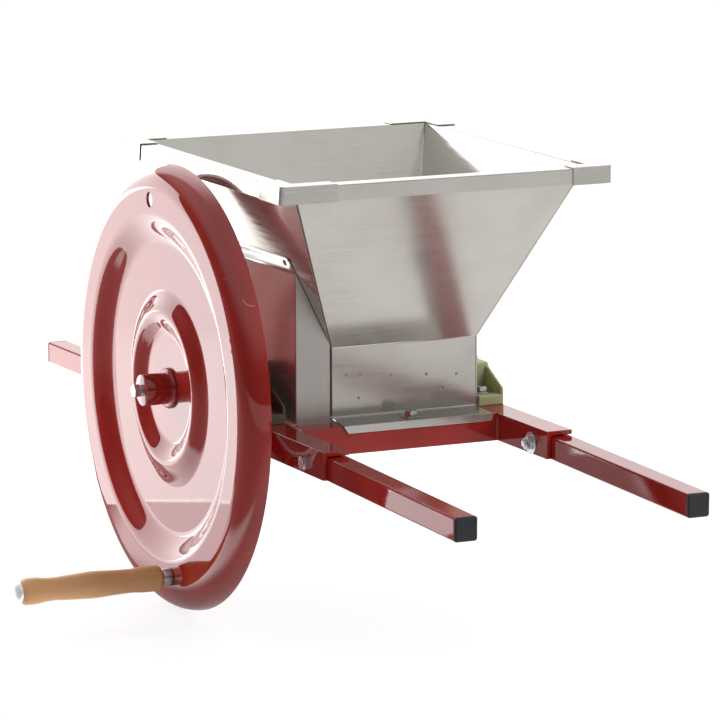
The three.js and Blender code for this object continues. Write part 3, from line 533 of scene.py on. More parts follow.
# Fasteners: zinc-plated M8 bolts and nuts with chamfered hexagons and rolled threads, and a
# wide washer under each head. They hold the arms, the hopper's feet and the bearing blocks.
across_flats = 0.013
head_height = 0.0053
nut_height = 0.0065
shank_radius = 0.004
thread_pitch = 0.00125
thread_depth = 0.00045
thread_runout = 0.0008
plain_share, point_share = 0.4, 0.78
chamfer_share, chamfer_start, chamfer_least = 0.94, 0.985, 0.0001
chamfer_slope = tan(radians(30))
seat_radius = 0.012
seat_thickness = 0.0016
small_round = 0.0003
clearance = 0.0003
turned_points = 48
loose_turn = radians(60)


def zinc_plate(name, colour):
    """Bright zinc plate: a faintly blue metal with clouded patches"""
    clouded = tuple(part * 0.78 for part in colour)
    return new_finish(
        name, colour, (300, 0.16, 0.36), 1.0, clouds=(120, clouded), bumps=(900, 3, 0.00002)
    )


def circle(x, radius):
    """A ring of points about the X axis; the radius may depend on the angle"""
    ring = []
    for i in range(turned_points):
        angle = 2 * pi * i / turned_points
        reach = radius(angle) if callable(radius) else radius
        ring.append(Vector((x, reach * cos(angle), reach * sin(angle))))
    return ring


def hexagon(x, flats):
    """A ring with six flats that far apart, and with a corner at angle 0"""
    sixth = pi / 3
    return circle(x, lambda angle: flats / 2 / cos((angle % sixth) - sixth / 2))


def chamfered(x, inwards, flats):
    """The two rings of a hexagon's chamfered end at x; inwards is the way into the metal"""
    ring = hexagon(x, flats)
    for point in ring:
        beyond = hypot(point.y, point.z) - flats / 2 * chamfer_start
        point.x += inwards * (max(0.0, beyond) * chamfer_slope + chamfer_least)
    return [circle(x, flats / 2 * chamfer_share), ring]


def thread(start, end):
    """Rings of a screw thread from start to end"""
    rings = []
    count = max(4, int(abs(end - start) / thread_pitch * 4))
    for i in range(count + 1):
        x = start + (end - start) * i / count
        rings.append(circle(x, lambda angle, x=x: shank_radius - thread_depth * (
            0.5 + 0.5 * cos(2 * pi * x / thread_pitch + angle)
        )))
    return rings


def skinned(name, rings, closed=False):
    """A body from its row of rings, closed at its ends or round on itself"""
    work = bmesh.new()
    rows = [[work.verts.new(point) for point in ring] for ring in rings]
    pairs = list(zip(rows, rows[1:]))
    if closed:
        pairs.append((rows[-1], rows[0]))
    for one, other in pairs:
        for i in range(turned_points):
            j = (i + 1) % turned_points
            work.faces.new((one[i], one[j], other[j], other[i]))
    if not closed:
        work.faces.new(rows[0])
        work.faces.new(rows[-1])
    bmesh.ops.recalc_face_normals(work, faces=work.faces)
    mesh = bpy.data.meshes.new(name)
    work.to_mesh(mesh)
    work.free()
    shaded(mesh, 24)
    return mesh


def bolt(name, length, washer=0.0):
    """A bolt along X whose head or washer bears at the origin"""
    rings = chamfered(-head_height - washer, 1, across_flats)
    rings.append(hexagon(-washer - chamfer_least, across_flats))
    if washer:
        rings.append(circle(-washer, seat_radius - small_round))
        rings.append(circle(-washer + small_round, seat_radius))
        rings.append(circle(0, seat_radius))
    plain = length * plain_share
    rings += [circle(0, shank_radius), circle(plain, shank_radius)]
    rings += thread(plain, length - thread_runout) + [circle(length, shank_radius * point_share)]
    return skinned(name, rings)


def nut(name, flats=across_flats, height=nut_height, bore=shank_radius + clearance):
    """A nut along X that bears at the origin"""
    rings = [circle(0, bore)] + chamfered(0, 1, flats)
    rings += chamfered(height, -1, flats)[::-1] + [circle(height, bore)]
    return skinned(name, rings, closed=True)


tree, given, made = start_tree("fasteners at points", {
    "Fastener": "Object", "Loose turn": "Float", "Seed": "Int",
})
aim = step(tree, "GeometryNodeInputNamedAttribute", {"Name": "aim"}, data_type="FLOAT_VECTOR")[0]
pointing = step(tree, "FunctionNodeAlignRotationToVector", {"Vector": aim}, axis="X")[0]
loose = {2: 0.0, 3: given["Loose turn"], "Seed": given["Seed"]}
loose = step(tree, "FunctionNodeRandomValue", loose)[1]
screwed = step(tree, "ShaderNodeCombineXYZ", {"X": loose})[0]
screwed = {"Rotation": pointing, "Rotate By": screwed}
pointing = step(tree, "FunctionNodeRotateRotation", screwed, rotation_space="LOCAL")[0]
shape = step(tree, "GeometryNodeObjectInfo", {"Object": given["Fastener"]})["Geometry"]
fastener_tree = ended(tree, step(tree, "GeometryNodeInstanceOnPoints", {
    "Points": given["Geometry"], "Instance": shape, "Rotation": pointing,
})[0], given, made)


def fastened(name, shape, places, body, finish, seed, nodes, slot="zinc_plate"):
    """Copies of one fastener at these places, each a point and the way that its shank aims"""
    mesh = bpy.data.meshes.new(name)
    mesh.from_pydata([point for point, way in places], [], [])
    aims = mesh.attributes.new("aim", "FLOAT_VECTOR", "POINT")
    aims.data.foreach_set("vector", [number for point, way in places for number in way])
    pattern = bpy.data.objects.new(name + "_shape", shape)
    piece = grown(name, fastener_tree, mesh, {
        "Fastener": pattern, "Loose turn": loose_turn, "Seed": seed, "Finish": finish,
    })
    bpy.data.objects.remove(pattern)
    fitted(piece, body, slot, *nodes)
    return piece


def middle(node):
    """The middle of a node's box"""
    low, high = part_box(node)
    return (low + high) / 2


bright_zinc = zinc_plate("bright_zinc", (0.68, 0.70, 0.72))
bolt_places, nut_places, washer_places = [], [], []
for end in arm_ends:
    way = 1 if end.endswith("left") else -1
    low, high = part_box("arm_bolt_" + end)
    arm_bolt_length = high.x - low.x - head_height
    seat = middle("arm_bolt_" + end)
    seat.x = low.x + head_height if way > 0 else high.x - head_height
    bolt_places.append((seat, (way, 0, 0)))
    low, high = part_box("arm_nut_" + end)
    seat = middle("arm_nut_" + end)
    seat.x = low.x if way > 0 else high.x
    nut_places.append((seat, (way, 0, 0)))
    washer_places.append((middle("arm_washer_" + end), (way, 0, 0)))

low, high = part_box("arm_washer_front_left")
half, rim = (high.x - low.x) / 2, (high.z - low.z) / 2
washer_bore = shank_radius + 0.00045
arm_washer = skinned("arm_washer", [
    circle(-half, washer_bore), circle(-half, rim - small_round),
    circle(small_round - half, rim), circle(half - small_round, rim),
    circle(half, rim - small_round), circle(half, washer_bore),
], closed=True)
for kind, shape, places, seed in (
    ("bolt", bolt("arm_bolt", arm_bolt_length), bolt_places, 3),
    ("nut", nut("arm_nut"), nut_places, 8), ("washer", arm_washer, washer_places, 1),
):
    nodes = [f"arm_{kind}_{end}" for end in arm_ends]
    fastened(f"arm_{kind}s", shape, places, "stand", bright_zinc, seed, nodes)

for group, ends in (
    ("foot", ("front", "rear")),
    ("bearing", ("left_front", "left_rear", "right_front", "right_rear")),
):
    bolt_places, nut_places = [], []
    for end in ends:
        low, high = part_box(f"{group}_bolt_{end}")
        top = high.z - head_height - seat_thickness
        length = top - low.z
        seat = middle(f"{group}_bolt_{end}")
        seat.z = top
        bolt_places.append((seat, (0, 0, -1)))
        seat = middle(f"{group}_nut_{end}")
        seat.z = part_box(f"{group}_nut_{end}")[1].z
        nut_places.append((seat, (0, 0, -1)))
    for kind, shape, places, seed in (
        ("bolt", bolt(f"{group}_bolt", length, seat_thickness), bolt_places, 5),
        ("nut", nut(f"{group}_nut"), nut_places, 6),
    ):
        nodes = [f"{group}_{kind}_{end}" for end in ends]
        fastened(f"{group}_{kind}s", shape, places, "stand", bright_zinc, seed, nodes)

# Hopper: four panels of 1.5 mm stainless sheet with a cold-rolled finish, each folded into
# rim, slope and skirt, and seam-welded in the corners. The comb's spot welds show in front.
sheet_colour = (0.605, 0.578, 0.54)
sheet_thickness = 0.0015
sheet_edge = 0.0003
sheet_fold = 0.0012
spot_radius = 0.0016
spot_rise = 0.00022
spots = ((-0.043, 0.077), (-0.027, 0.077), (0.010, 0.0725), (0.052, 0.0705),
         (0.088, 0.068), (-0.0285, 0.051), (0.072, 0.055))


def rolled(name, along, colour=sheet_colour, dull=(0.26, 0.34), warp=0.0006, bow=(0, 0, 0)):
    """Cold-rolled stainless, its grain along that axis, with stains, a warp and a bow"""
    finish = new_finish(name, colour, 0.27, 0.78)
    stretch = {"X": (0.03, 1, 1), "Y": (1, 0.03, 1), "Z": (1, 1, 0.03)}[along]
    stains = ranged(finish, grain(finish, 16, 5), 0, 1, 0.42, 0.68)
    streaks = ranged(finish, grain(finish, 500, 3, stretch), 0, 1)
    faded = tuple(part * share for part, share in zip(colour, (0.86, 0.86, 0.86 * 0.96)))
    tinted = blended(finish, stains, colour, faded)
    brushed = blended(finish, streaks, tinted, tuple(part * 0.985 for part in colour))
    varied(finish, "Base Color", brushed)
    varied(finish, "Roughness", ranged(finish, streaks, *dull, 0, 1))
    place = step(finish.node_tree, "ShaderNodeTexCoord", {})["Object"]
    rise = {0: place, 1: bow}
    rise = step(finish.node_tree, "ShaderNodeVectorMath", rise, operation="DOT_PRODUCT")["Value"]
    fine = grain(finish, 2600, 2, stretch)
    relief(finish, (rise, 1.0), (grain(finish, 4.5, 1), warp), (fine, 0.0000003))
    return finish


end_sheet = rolled("rolled_end_panels", "X", dull=(0.15, 0.2), warp=0.0004)
side_sheet = rolled("rolled_side_panels", "Y", dull=(0.1, 0.16))
bowed_sheet = rolled("rolled_left_panel", "Y", dull=(0.07, 0.13), warp=0.0005, bow=(0, 0, -0.24))
rim_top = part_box("hopper_left")[1].z
rim_lean = 0.06


def leaned(point):
    """The left rim's outer wall stands out a little towards its lower edge"""
    if point.x < rim_wall:
        point.x -= (rim_top - point.z) * rim_lean


rim_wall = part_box("hopper_left")[0].x + 0.0025
for node, finish, seam, bent in (
    ("hopper_front", end_sheet, middle("foot_bolt_front").x, None),
    ("hopper_rear", end_sheet, middle("foot_bolt_rear").x, None),
    ("hopper_left", bowed_sheet, None, leaned), ("hopper_right", side_sheet, None, None),
):
    clad("folded_", [node], "stainless", finish, sheet_edge, fold=sheet_fold, seam=seam, bent=bent)

skirt_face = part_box("counter_comb")[0].y - sheet_thickness
spot_grey = new_finish(
    "spot_weld", (0.46, 0.43, 0.40), (900, 0.3, 0.55), 1.0, bumps=(700, 3, 0.00008)
)
spot_shape = skinned("spot", [
    circle(-0.0004, spot_radius), circle(0, spot_radius), circle(spot_rise, spot_radius * 0.8),
    circle(spot_rise * 0.5, spot_radius * 0.55), circle(spot_rise * 0.4, spot_radius * 0.2),
])
places = [(Vector((x, skirt_face, z)), (0, -1, 0)) for x, z in spots]
fastened("skirt_spot_welds", spot_shape, places, "stand", spot_grey, 2, [], slot="stainless")

# The seam at the left front corner, from the skirt's foot over the throat to the rim. Its dark
# run from the skirt's foot to the throat is painted shade, for the slit between the guard's
# return and the skirt.
seam_radius = 0.0009
seam_foot, seam_throat = Vector((-0.0606, -0.0801, 0.034)), Vector((-0.0606, -0.0801, 0.1074))
seam_rim = Vector((-0.1567, -0.1954, 0.3018))
# Dark brown: a weld seam up to the rim, and below the throat painted shade in the slit
weld_and_shade_steel = new_finish("seam_weld_and_painted_shade", (0.24, 0.2, 0.18), (500, 0.35, 0.6), 1.0)
seam_and_shade_runs = [[seam_foot, seam_throat], [seam_throat.lerp(seam_rim, i / 4) for i in range(5)]]
beaded("corner_seams", seam_and_shade_runs, seam_radius, ripple=0.0024, depth=0.1, finish=weld_and_shade_steel,
       slot="stainless")

# Rim caps: corners pressed from stainless sheet, brighter than the hopper's. Each is pushed
# over a corner of the rim and tacked there.
pressed_edge = 0.0009

pressed_sheet = rolled("pressed_corners", "X", (0.60, 0.58, 0.545), (0.2, 0.34), 0.0003)
rim_caps = ["rim_cap_" + end for end in arm_ends]
clad("pressed_", rim_caps, "stainless", pressed_sheet, sheet_edge,
     fold=pressed_edge, broad=2e-4, bent=leaned)

# Guard: one folded stainless sheet between wheel and throat, held to the hopper's slope by
# two blind rivets through its flange. Its return, facing the front, is rougher, and its
# slightly darker colour there is painted shade.
guard_sheet = rolled("rolled_guard", "Z", dull=(0.2, 0.26), warp=0.0003, bow=(0, 0.12, 0))
guard_flange = rolled("rolled_guard_flange", "Y", dull=(0.08, 0.13), warp=0.0003)
# The return's darker colour is painted shade on the face towards the front
guard_return_painted_shade = rolled("rolled_guard_return", "Z", (0.56, 0.54, 0.51), (0.34, 0.42), 0.0003)
guard = dressed("folded_side_guard", "side_guard", guard_sheet, sheet_edge, sheet_fold)
guard.data.materials.append(guard_flange)
guard.data.materials.append(guard_return_painted_shade)
for face in guard.data.polygons:
    face.material_index = 1 if abs(face.normal.z) > 0.2 else 2 if abs(face.normal.y) > 0.7 else 0
fitted(guard, "stand", "stainless", "side_guard")
rivets = ("guard_rivet_front", "guard_rivet_rear")
clad("domed_", rivets, "zinc_plate", pressed_sheet, 0.0002)

# Counter comb: a stainless plate with a row of teeth that the drum's teeth pass between. It
# is welded behind the hopper's front skirt.
clad("cut_", ["counter_comb"], "stainless", end_sheet, 0.0004)

# Bearing blocks: cast nylon, a little translucent and yellow-green, bored for the shaft and
# bolted down on the rails. The left one is coloured dark brown instead: painted shade, for
# the shadow that falls on it between wheel and hopper.
block_edge = 0.0012

cast_nylon = new_finish(
    "cast_nylon", (0.43, 0.43, 0.26), (160, 0.38, 0.55),
    clouds=(45, (0.37, 0.38, 0.2)), bumps=(600, 3, 0.00005), more={
        "Subsurface Weight": 0.85, "Subsurface Radius": (0.007, 0.0065, 0.004),
        "Subsurface Scale": 1.0,
    },
)
# The left block's dark brown colour is painted shade, not a colour of the nylon
painted_shade_nylon = new_finish("painted_shade_nylon", (0.085, 0.08, 0.06), (90, 0.3, 0.5))
for side, finish in (("left", painted_shade_nylon), ("right", cast_nylon)):
    clad("cast_", ["bearing_block_" + side], "nylon", finish, block_edge, corner=50)

# Shaft and collar: a ground steel bar through the drum, with a shoulder against the left
# bearing and a thin zinc-plated collar outside the right one. Both are turned on a lathe.
lathe_steps = 96
shaft_round = 0.0006


def counted(tree, in_a_row):
    """Which row of a grid each of its points is in, and its number in that row"""
    number = step(tree, "GeometryNodeInputIndex", {})[0]
    row = sum_of(tree, "DIVIDE", sum_of(tree, "ADD", number, 0.5), in_a_row)
    row = sum_of(tree, "FLOOR", row)
    return row, sum_of(tree, "SUBTRACT", number, sum_of(tree, "MULTIPLY", row, in_a_row))


tree, given, made = start_tree("turned on a lathe", {
    "Points": "Int", "Steps": "Int", "Height": "Float", "Forward": "Float",
})
down = sum_of(tree, "ADD", given["Points"], 1.0)
grid = step(tree, "GeometryNodeMeshGrid", {
    "Size X": 1.0, "Size Y": 1.0,
    "Vertices X": sum_of(tree, "ADD", given["Steps"], 1.0), "Vertices Y": down,
})[0]
turn_number, point_number = counted(tree, down)
section = step(tree, "GeometryNodeSampleIndex", {
    "Geometry": given["Geometry"],
    "Index": sum_of(tree, "MODULO", point_number, given["Points"]),
    "Value": step(tree, "GeometryNodeInputPosition", {})[0],
}, data_type="FLOAT_VECTOR")[0]
section = step(tree, "ShaderNodeSeparateXYZ", {"Vector": section})
angle = sum_of(tree, "DIVIDE", turn_number, given["Steps"])
angle = sum_of(tree, "MULTIPLY", angle, 2 * pi)
sideways = sum_of(tree, "MULTIPLY", section["Z"], sum_of(tree, "SINE", angle))
upwards = sum_of(tree, "MULTIPLY", section["Z"], sum_of(tree, "COSINE", angle))
place = step(tree, "ShaderNodeCombineXYZ", {
    "X": section["X"],
    "Y": sum_of(tree, "ADD", sideways, given["Forward"]),
    "Z": sum_of(tree, "ADD", upwards, given["Height"]),
})[0]
shape = step(tree, "GeometryNodeSetPosition", {"Geometry": grid, "Position": place})[0]
shape = step(tree, "GeometryNodeMergeByDistance", {"Geometry": shape, "Distance": 2e-6})[0]
lathe_tree = ended(tree, shape, given, made)


def turned(name, section, centre, finish, steps=lathe_steps, crease=32):
    """A turned piece from its section, a closed row of (x, radius), about an axis along X"""
    mesh = bpy.data.meshes.new(name)
    mesh.from_pydata([(x, 0, radius) for x, radius in section], [], [])
    piece = grown(name, lathe_tree, mesh, {
        "Points": len(section), "Steps": steps, "Height": centre.z, "Forward": centre.y,
        "Finish": finish,
    })
    work = bmesh.new()
    work.from_mesh(piece.data)
    bmesh.ops.recalc_face_normals(work, faces=work.faces)
    work.to_mesh(piece.data)
    work.free()
    shaded(piece.data, crease)
    return piece


def lathe_steel(name, colour, dull):
    """Turned or ground steel, its marks running round the axis"""
    worn = tuple(part * 0.8 for part in colour)
    finish = new_finish(name, colour, dull[0], 1.0, clouds=(40, worn))
    marks = grain(finish, 1800, 2, (1, 0.02, 0.02))
    varied(finish, "Roughness", ranged(finish, marks, *dull))
    relief(finish, (marks, 0.00001))
    return finish


low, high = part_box("shaft")
axis = Vector((0, 0, (low.z + high.z) / 2))
shaft_end = (low.x, high.x)
shaft_bar = 0.0125
shaft_bore = shaft_bar + clearance
shoulder = 0.0175
shoulder_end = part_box("bearing_block_left")[0].x - clearance
shoulder_start = shoulder_end - 0.012
bore_depth = 0.022
bore = shank_radius + 0.00035
ground_steel = lathe_steel("ground_steel", (0.42, 0.42, 0.41), (0.22, 0.36))
shaft = turned("ground_shaft", [
    (shaft_end[0] + bore_depth, 0), (shaft_end[0] + bore_depth, bore), (shaft_end[0], bore),
    (shaft_end[0], shaft_bar - shaft_round), (shaft_end[0] + shaft_round, shaft_bar),
    (shoulder_start, shaft_bar), (shoulder_start, shoulder - shaft_round),
    (shoulder_start + shaft_round, shoulder), (shoulder_end - shaft_round, shoulder),
    (shoulder_end, shoulder - shaft_round), (shoulder_end, shaft_bar),
    (shaft_end[1] - shaft_round, shaft_bar), (shaft_end[1], shaft_bar - shaft_round),
    (shaft_end[1], 0),
], axis, ground_steel)
fitted(shaft, "crank", "shaft_steel", "shaft")

low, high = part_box("shaft_collar")
collar = (high.z - low.z) / 2
plated_collar = lathe_steel("plated_turning", (0.62, 0.64, 0.65), (0.2, 0.32))
ring = turned("plated_shaft_collar", [
    (low.x, shaft_bore), (low.x, collar - small_round), (low.x + small_round, collar),
    (high.x - small_round, collar), (high.x, collar - small_round), (high.x, shaft_bore),
], axis, plated_collar)
fitted(ring, "crank", "zinc_plate", "shaft_collar")

# Drum: a stainless tube on two end plates, with eight staggered rows of hooked teeth welded
# on. It tears the fruit against the comb.
drum_radius = 0.056
drum_wall = 0.004
drum_plate = 0.006
drum_hub = 0.021
tooth_reach = 0.070
tooth_width = 0.009
tooth_pitch = 0.018
tooth_base = 0.015
tooth_rows = 8

tree, given, made = start_tree("rows of teeth", {
    "Tooth": "Object", "Rows": "Int", "Teeth in a row": "Int", "Pitch": "Float",
    "First": "Float", "Height": "Float",
})
teeth = step(tree, "GeometryNodeMeshGrid", {
    "Size X": 1.0, "Size Y": 1.0,
    "Vertices X": given["Rows"], "Vertices Y": given["Teeth in a row"],
})[0]
row, along = counted(tree, given["Teeth in a row"])
stagger = sum_of(tree, "MULTIPLY", sum_of(tree, "MODULO", row, 2.0), 0.5)
along = sum_of(tree, "MULTIPLY", sum_of(tree, "ADD", along, stagger), given["Pitch"])
place = step(tree, "ShaderNodeCombineXYZ", {
    "X": sum_of(tree, "ADD", along, given["First"]), "Y": 0.0, "Z": given["Height"],
})[0]
teeth = step(tree, "GeometryNodeSetPosition", {"Geometry": teeth, "Position": place})[0]
angle = sum_of(tree, "MULTIPLY", sum_of(tree, "DIVIDE", row, given["Rows"]), 2 * pi)
shape = step(tree, "GeometryNodeObjectInfo", {"Object": given["Tooth"]})["Geometry"]
tooth_tree = ended(tree, step(tree, "GeometryNodeInstanceOnPoints", {
    "Points": teeth, "Instance": shape,
    "Rotation": step(tree, "ShaderNodeCombineXYZ", {"X": angle})[0],
})[0], given, made)

drum_low, drum_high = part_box("toothed_drum")
inner = drum_radius - drum_wall
drum_steel = rolled("drum_stainless", "X", (0.5, 0.49, 0.47), (0.26, 0.4), 0.0002)
x0, x1 = drum_low.x, drum_high.x
drum = turned("rolled_drum", [
    (x0, shaft_bore), (x0, drum_radius), (x1, drum_radius), (x1, shaft_bore),
    (x1 - 2 * drum_plate, shaft_bore), (x1 - 2 * drum_plate, drum_hub), (x1 - drum_plate, drum_hub),
    (x1 - drum_plate, inner), (x0 + drum_plate, inner), (x0 + drum_plate, drum_hub),
    (x0 + 2 * drum_plate, drum_hub), (x0 + 2 * drum_plate, shaft_bore),
], axis, drum_steel)
tooth_outline = ((-tooth_base / 2, inner + 0.002), (tooth_base / 2, inner + 0.002),
                 (tooth_base / 5, tooth_reach), (-tooth_base / 20, tooth_reach - 0.001))
tooth_mesh = bpy.data.meshes.new("tooth")
tooth_mesh.from_pydata(
    [(x, y, z) for x in (0, tooth_width) for y, z in tooth_outline], [],
    [(3, 2, 1, 0), (4, 5, 6, 7)] + [(i, (i + 1) % 4, (i + 1) % 4 + 4, i + 4) for i in range(4)],
)
work = bmesh.new()
work.from_mesh(tooth_mesh)
bmesh.ops.recalc_face_normals(work, faces=work.faces)
bmesh.ops.bevel(work, geom=list(work.edges), offset=0.0005, segments=2, affect="EDGES", profile=0.5)
work.to_mesh(tooth_mesh)
work.free()
tooth = bpy.data.objects.new("tooth", tooth_mesh)
in_a_row = int((x1 - x0 - tooth_width - tooth_pitch / 2) / tooth_pitch) + 1
run = (in_a_row - 1) * tooth_pitch + tooth_pitch / 2 + tooth_width
teeth = grown("drum_teeth", tooth_tree, bpy.data.meshes.new("teeth"), {
    "Tooth": tooth, "Rows": tooth_rows, "Teeth in a row": in_a_row, "Pitch": tooth_pitch,
    "First": x0 + (x1 - x0 - run) / 2, "Height": axis.z, "Finish": drum_steel,
})
bpy.data.objects.remove(tooth)
shaded(teeth.data, 40)
fitted(drum, "crank", "stainless", "toothed_drum")
fitted(teeth, "crank", "stainless")

# Flywheel: one disc pressed from 3 mm steel plate and sprayed red: a flat face ring inside a
# rolled rim, a sunk annulus and a raised ring round the hub, with a spare hole in the face.
wheel_sheet = 0.003
rim_radius = 0.027
face_width = 0.023
slope_width = 0.036
sink = 0.0142
ridge_outer, ridge_crest, ridge_inner = 0.107, 0.081, 0.056
ridge_height = 0.009
hub_radius = 0.017
spare_hole, spare_reach = 0.0085, 0.203
spare_angle = radians(4.5)
crank_angle = radians(9)
wheel_steps = 240
ridge_points, slope_points, rim_points = 14, 14, 16
flat_end = 0.0008

wheel_low, wheel_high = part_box("flywheel_disc")
wheel_radius = (wheel_high.z - wheel_low.z) / 2
face = wheel_low.x
face_inner = wheel_radius - rim_radius - face_width
annulus = face_inner - slope_width
crank_radius = face_inner + face_width / 2


def swell(share):
    """A smooth rise from 0 to 1"""
    return (1 - cos(pi * share)) / 2


sunk = face + sink
front = [(sunk, hub_radius + clearance), (sunk, ridge_inner - flat_end)]
for start, end, rising in ((ridge_inner, ridge_crest, True), (ridge_crest, ridge_outer, False)):
    for i in range(ridge_points):
        share = i / ridge_points
        height = swell(share) if rising else 1 - swell(share)
        front.append((sunk - ridge_height * height, start + (end - start) * share))
front += [(sunk, ridge_outer), (sunk, ridge_outer + flat_end), (sunk, annulus - flat_end)]
for i in range(slope_points + 1):
    share = i / slope_points
    front.append((face + sink * (1 - swell(share)), annulus + slope_width * share))
rim_centre = wheel_radius - rim_radius
front += [(face, face_inner + flat_end), (face, rim_centre - flat_end)]
for i in range(rim_points + 1):
    angle = pi / 2 * i / rim_points
    ahead, outward = rim_radius * (1 - cos(angle)), rim_radius * sin(angle)
    front.append((face + ahead, rim_centre + outward))
back = []
for i, (x, radius) in enumerate(front):
    one, other = front[max(i - 1, 0)], front[min(i + 1, len(front) - 1)]
    run, rise = other[0] - one[0], other[1] - one[1]
    length = hypot(run, rise)
    back.append((x + wheel_sheet * rise / length, radius - wheel_sheet * run / length))
wheel_red = enamel("wheel_enamel", 0.0002)
disc = turned("pressed_flywheel", front + back[::-1], axis, wheel_red, wheel_steps)

cut_front, cut_back = face - 0.002, face + wheel_sheet + 0.002
for name, radius, reach, angle in (
    ("spare_hole", spare_hole, spare_reach, spare_angle),
    ("pin_hole", 0.0053, -crank_radius, crank_angle),
):
    centre = axis + Vector((0, reach * sin(angle), reach * cos(angle)))
    cutter = turned(name, [
        (cut_front, 0), (cut_front, radius), (cut_back, radius), (cut_back, 0),
    ], centre, wheel_red, 48)
    drill = disc.modifiers.new("drill", "BOOLEAN")
    drill.operation = "DIFFERENCE"
    drill.object = cutter
    disc = settled("pressed_flywheel", disc)
    bpy.data.objects.remove(cutter)
shaded(disc.data, 32)
fitted(disc, "crank", "red_paint", "flywheel_disc")

# Wear: a curved scratch through the paint of the flare and two short marks on the face
# ring's right edge, pale with the primer under the paint.
scratch_width = 0.0004
primer = new_finish("bare_primer", (0.62, 0.30, 0.24), (900, 0.45, 0.7))
scratch_runs = [
    [(-0.2161, -0.1998, 0.1889), (-0.2139, -0.2035, 0.1851),
     (-0.2106, -0.2063, 0.1832), (-0.2056, -0.2077, 0.1830)],
    [(-0.229, -0.1952, 0.1484), (-0.229, -0.1964, 0.1444)],
    [(-0.229, -0.1988, 0.1375), (-0.229, -0.2001, 0.1335)],
]
beaded("paint_scratches", scratch_runs, scratch_width, ripple=0.003, depth=0.3, finish=primer,
       body="crank")

# Hub: a steel tube through the disc, welded to it all round and painted with it. A bolt with
# a spacer in its closed end draws it on to the shaft.
hub_low, hub_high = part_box("flywheel_hub")
hub_wall = 0.004
hub_edge = 0.001
weld_radius = 0.0042
hub_back = hub_low.x + hub_wall
hub = turned("painted_flywheel_hub", [
    (hub_low.x, bore), (hub_low.x, hub_radius - hub_edge),
    (hub_low.x + hub_edge * 0.3, hub_radius - hub_edge * 0.3), (hub_low.x + hub_edge, hub_radius),
    (hub_high.x - hub_edge, hub_radius), (hub_high.x, hub_radius - hub_edge),
    (hub_high.x, shaft_bore), (hub_back, shaft_bore), (hub_back, bore),
], axis, wheel_red)
fitted(hub, "crank", "red_paint", "flywheel_hub")
weld_reach = hub_radius + weld_radius * 0.25
weld_line = [
    (sunk - weld_radius * 0.25, weld_reach * cos(angle), axis.z + weld_reach * sin(angle))
    for angle in (2 * pi * i / 90 for i in range(91))
]
beaded("hub_weld", [weld_line], weld_radius, ripple=0.0045, depth=0.09, finish=wheel_red,
       body="crank")

low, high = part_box("hub_bolt")
hub_head, hub_spacer = 0.006, 0.0036
head_end = low.x + hub_head
spacer_radius = across_flats / 2
rings = chamfered(-hub_head, 1, across_flats)
rings += [
    hexagon(0, across_flats), circle(0, spacer_radius - small_round),
    circle(small_round, spacer_radius), circle(hub_spacer, spacer_radius),
    circle(hub_spacer, shank_radius), circle(high.x - head_end - 0.001, shank_radius),
    circle(high.x - head_end, shank_radius * 0.8),
]
places = [(Vector((head_end, axis.y, axis.z)), (1, 0, 0))]
fastened("hub_bolt_set", skinned("hub_bolt_set", rings), places, "crank", bright_zinc, 4,
         ["hub_bolt"])

# Crank handle: a zinc-plated steel pin, held in the face ring between its own collar and a
# nut behind. A domed cap on its end keeps the wooden grip on it.
grip_bore = 0.0054
pin_low, pin_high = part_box("handle_pin")
grip_low, grip_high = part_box("grip")
pin_centre = Vector((0, (grip_low.y + grip_high.y) / 2, (grip_low.z + grip_high.z) / 2))
pin_bar = 0.005
pin_collar = 0.0097
dome_points = 12
collar_start = grip_high.x + clearance
# The pin's darker, faintly pink colour is painted shade and a painted reflection of the wheel
pin = turned("plated_handle_pin", [
    (pin_low.x, 0), (pin_low.x, pin_bar), (collar_start, pin_bar),
    (collar_start, pin_collar - 0.0012), (collar_start + 0.0005, pin_collar - 0.0004),
    (collar_start + 0.0012, pin_collar), (face - 0.0008, pin_collar),
    (face, pin_collar - 0.0006), (face, pin_bar), (pin_high.x - 0.001, pin_bar),
    (pin_high.x, pin_bar - 0.001), (pin_high.x, 0),
], pin_centre, lathe_steel("pin_painted_pink_reflection", (0.46, 0.42, 0.42), (0.24, 0.36)))
fitted(pin, "crank", "zinc_plate", "handle_pin")

low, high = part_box("pin_nut")
pin_nut = nut("pin_nut_set", 0.017, high.x - low.x, pin_bar + clearance)
places = [(Vector((low.x, pin_centre.y, pin_centre.z)), (1, 0, 0))]
fastened("pin_nut_set", pin_nut, places, "crank", bright_zinc, 7, ["pin_nut"])

low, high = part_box("grip_end_cap")
cap_radius = (high.z - low.z) / 2
pin_bore = pin_bar + clearance
dome = [
    (high.x, pin_bore), (high.x, cap_radius - small_round), (high.x - small_round, cap_radius),
]
dome_start = high.x - 0.0018
for i in range(dome_points + 1):
    angle = pi / 2 * i / dome_points
    dome.append((dome_start - (dome_start - low.x) * sin(angle), cap_radius * cos(angle)))
dome += [(pin_low.x - clearance, 0), (pin_low.x - clearance, pin_bore)]
nickel = new_finish("nickel_cap", (0.93, 0.93, 0.94), (500, 0.24, 0.4), 0.35)
cap = turned("domed_grip_cap", dome, pin_centre, nickel)
fitted(cap, "crank", "zinc_plate", "grip_end_cap")

# Grip: turned beech with a belly between two waists, oiled. Its grain runs along it, with
# the short dark flecks of beech.
shoulder_radius, neck_radius, belly_radius = 0.0139, 0.0128, 0.0146
waist_radius, end_radius = 0.0124, 0.0144
grip_length = grip_high.x - grip_low.x
curve_points = 6

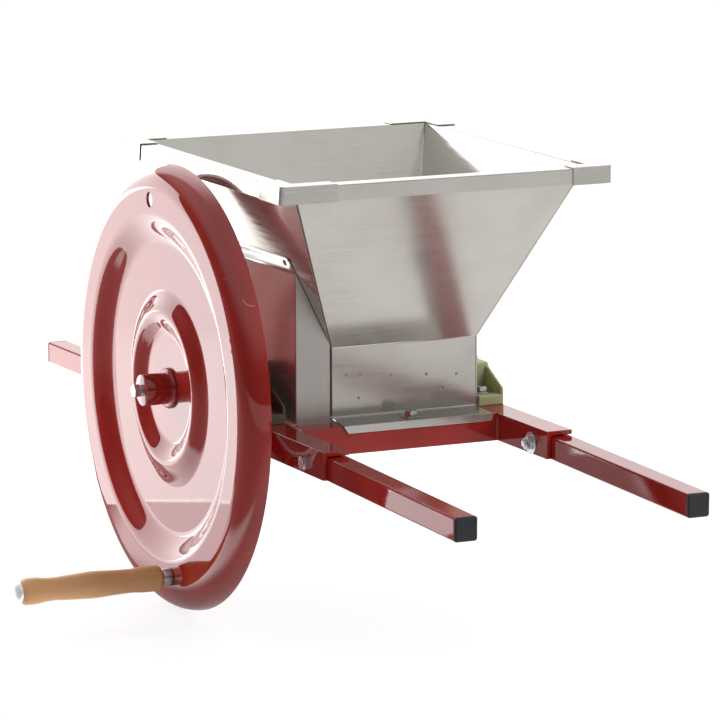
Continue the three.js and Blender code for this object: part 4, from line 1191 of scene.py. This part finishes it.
beech = new_finish("turned_beech", (0.56, 0.33, 0.16), 0.5)
fibres = ranged(beech, grain(beech, 700, 4, (0.03, 1, 1)), 0, 1)
bands = ranged(beech, grain(beech, 120, 3, (0.05, 1, 0.6)), 0, 1)
flecks = ranged(beech, grain(beech, 1300, 2, (0.08, 1, 1), (3, 1, 2)), 0, 0.5, 0.62, 0.72)
wood = blended(beech, bands, (0.72, 0.42, 0.2), (0.62, 0.34, 0.145))
wood = blended(beech, fibres, wood, (0.68, 0.385, 0.175))
varied(beech, "Base Color", blended(beech, flecks, wood, (0.48, 0.25, 0.11)))
varied(beech, "Roughness", ranged(beech, fibres, 0.42, 0.6, 0, 1))
relief(beech, (fibres, 0.00004), (grain(beech, 60, 2), 0.0001))

# The grip's radius at each share of its length, from the collar to the end cap
shape = (
    (0, shoulder_radius - 0.0033), (0.012, shoulder_radius - 0.0012), (0.045, shoulder_radius),
    (0.13, shoulder_radius - 0.0001), (0.22, neck_radius), (0.31, neck_radius + 0.0004),
    (0.4, belly_radius - 0.0007), (0.48, belly_radius), (0.57, belly_radius - 0.0005),
    (0.68, (belly_radius + waist_radius) / 2 - 0.0003), (0.775, waist_radius),
    (0.84, waist_radius + 0.0006), (0.895, end_radius - 0.0001), (0.945, end_radius),
    (0.982, end_radius - 0.0008), (1, end_radius - 0.0031),
)
shares = np.array([share for share, radius in shape])
radii = np.array([radius for share, radius in shape])
slopes = np.gradient(radii, shares)
slopes[1:-1] = [
    0 if (radii[i] - radii[i - 1]) * (radii[i + 1] - radii[i]) <= 0 else slopes[i]
    for i in range(1, len(shape) - 1)
]
section = []
for i in range(len(shape) - 1):
    width = shares[i + 1] - shares[i]
    for k in range(curve_points):
        t = k / curve_points
        radius = (
            (2 * t ** 3 - 3 * t ** 2 + 1) * radii[i] + (t ** 3 - 2 * t ** 2 + t) * width * slopes[i]
            + (3 * t ** 2 - 2 * t ** 3) * radii[i + 1] + (t ** 3 - t ** 2) * width * slopes[i + 1]
        )
        section.append((grip_high.x - grip_length * (shares[i] + width * t), float(radius)))
section.append((grip_low.x, float(radii[-1])))
section += [(grip_low.x, grip_bore), (grip_high.x, grip_bore)]
grip = turned("turned_grip", section, pin_centre, beech, 72, 50)
fitted(grip, "grip_sleeve", "turned_wood", "grip")

low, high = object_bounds()
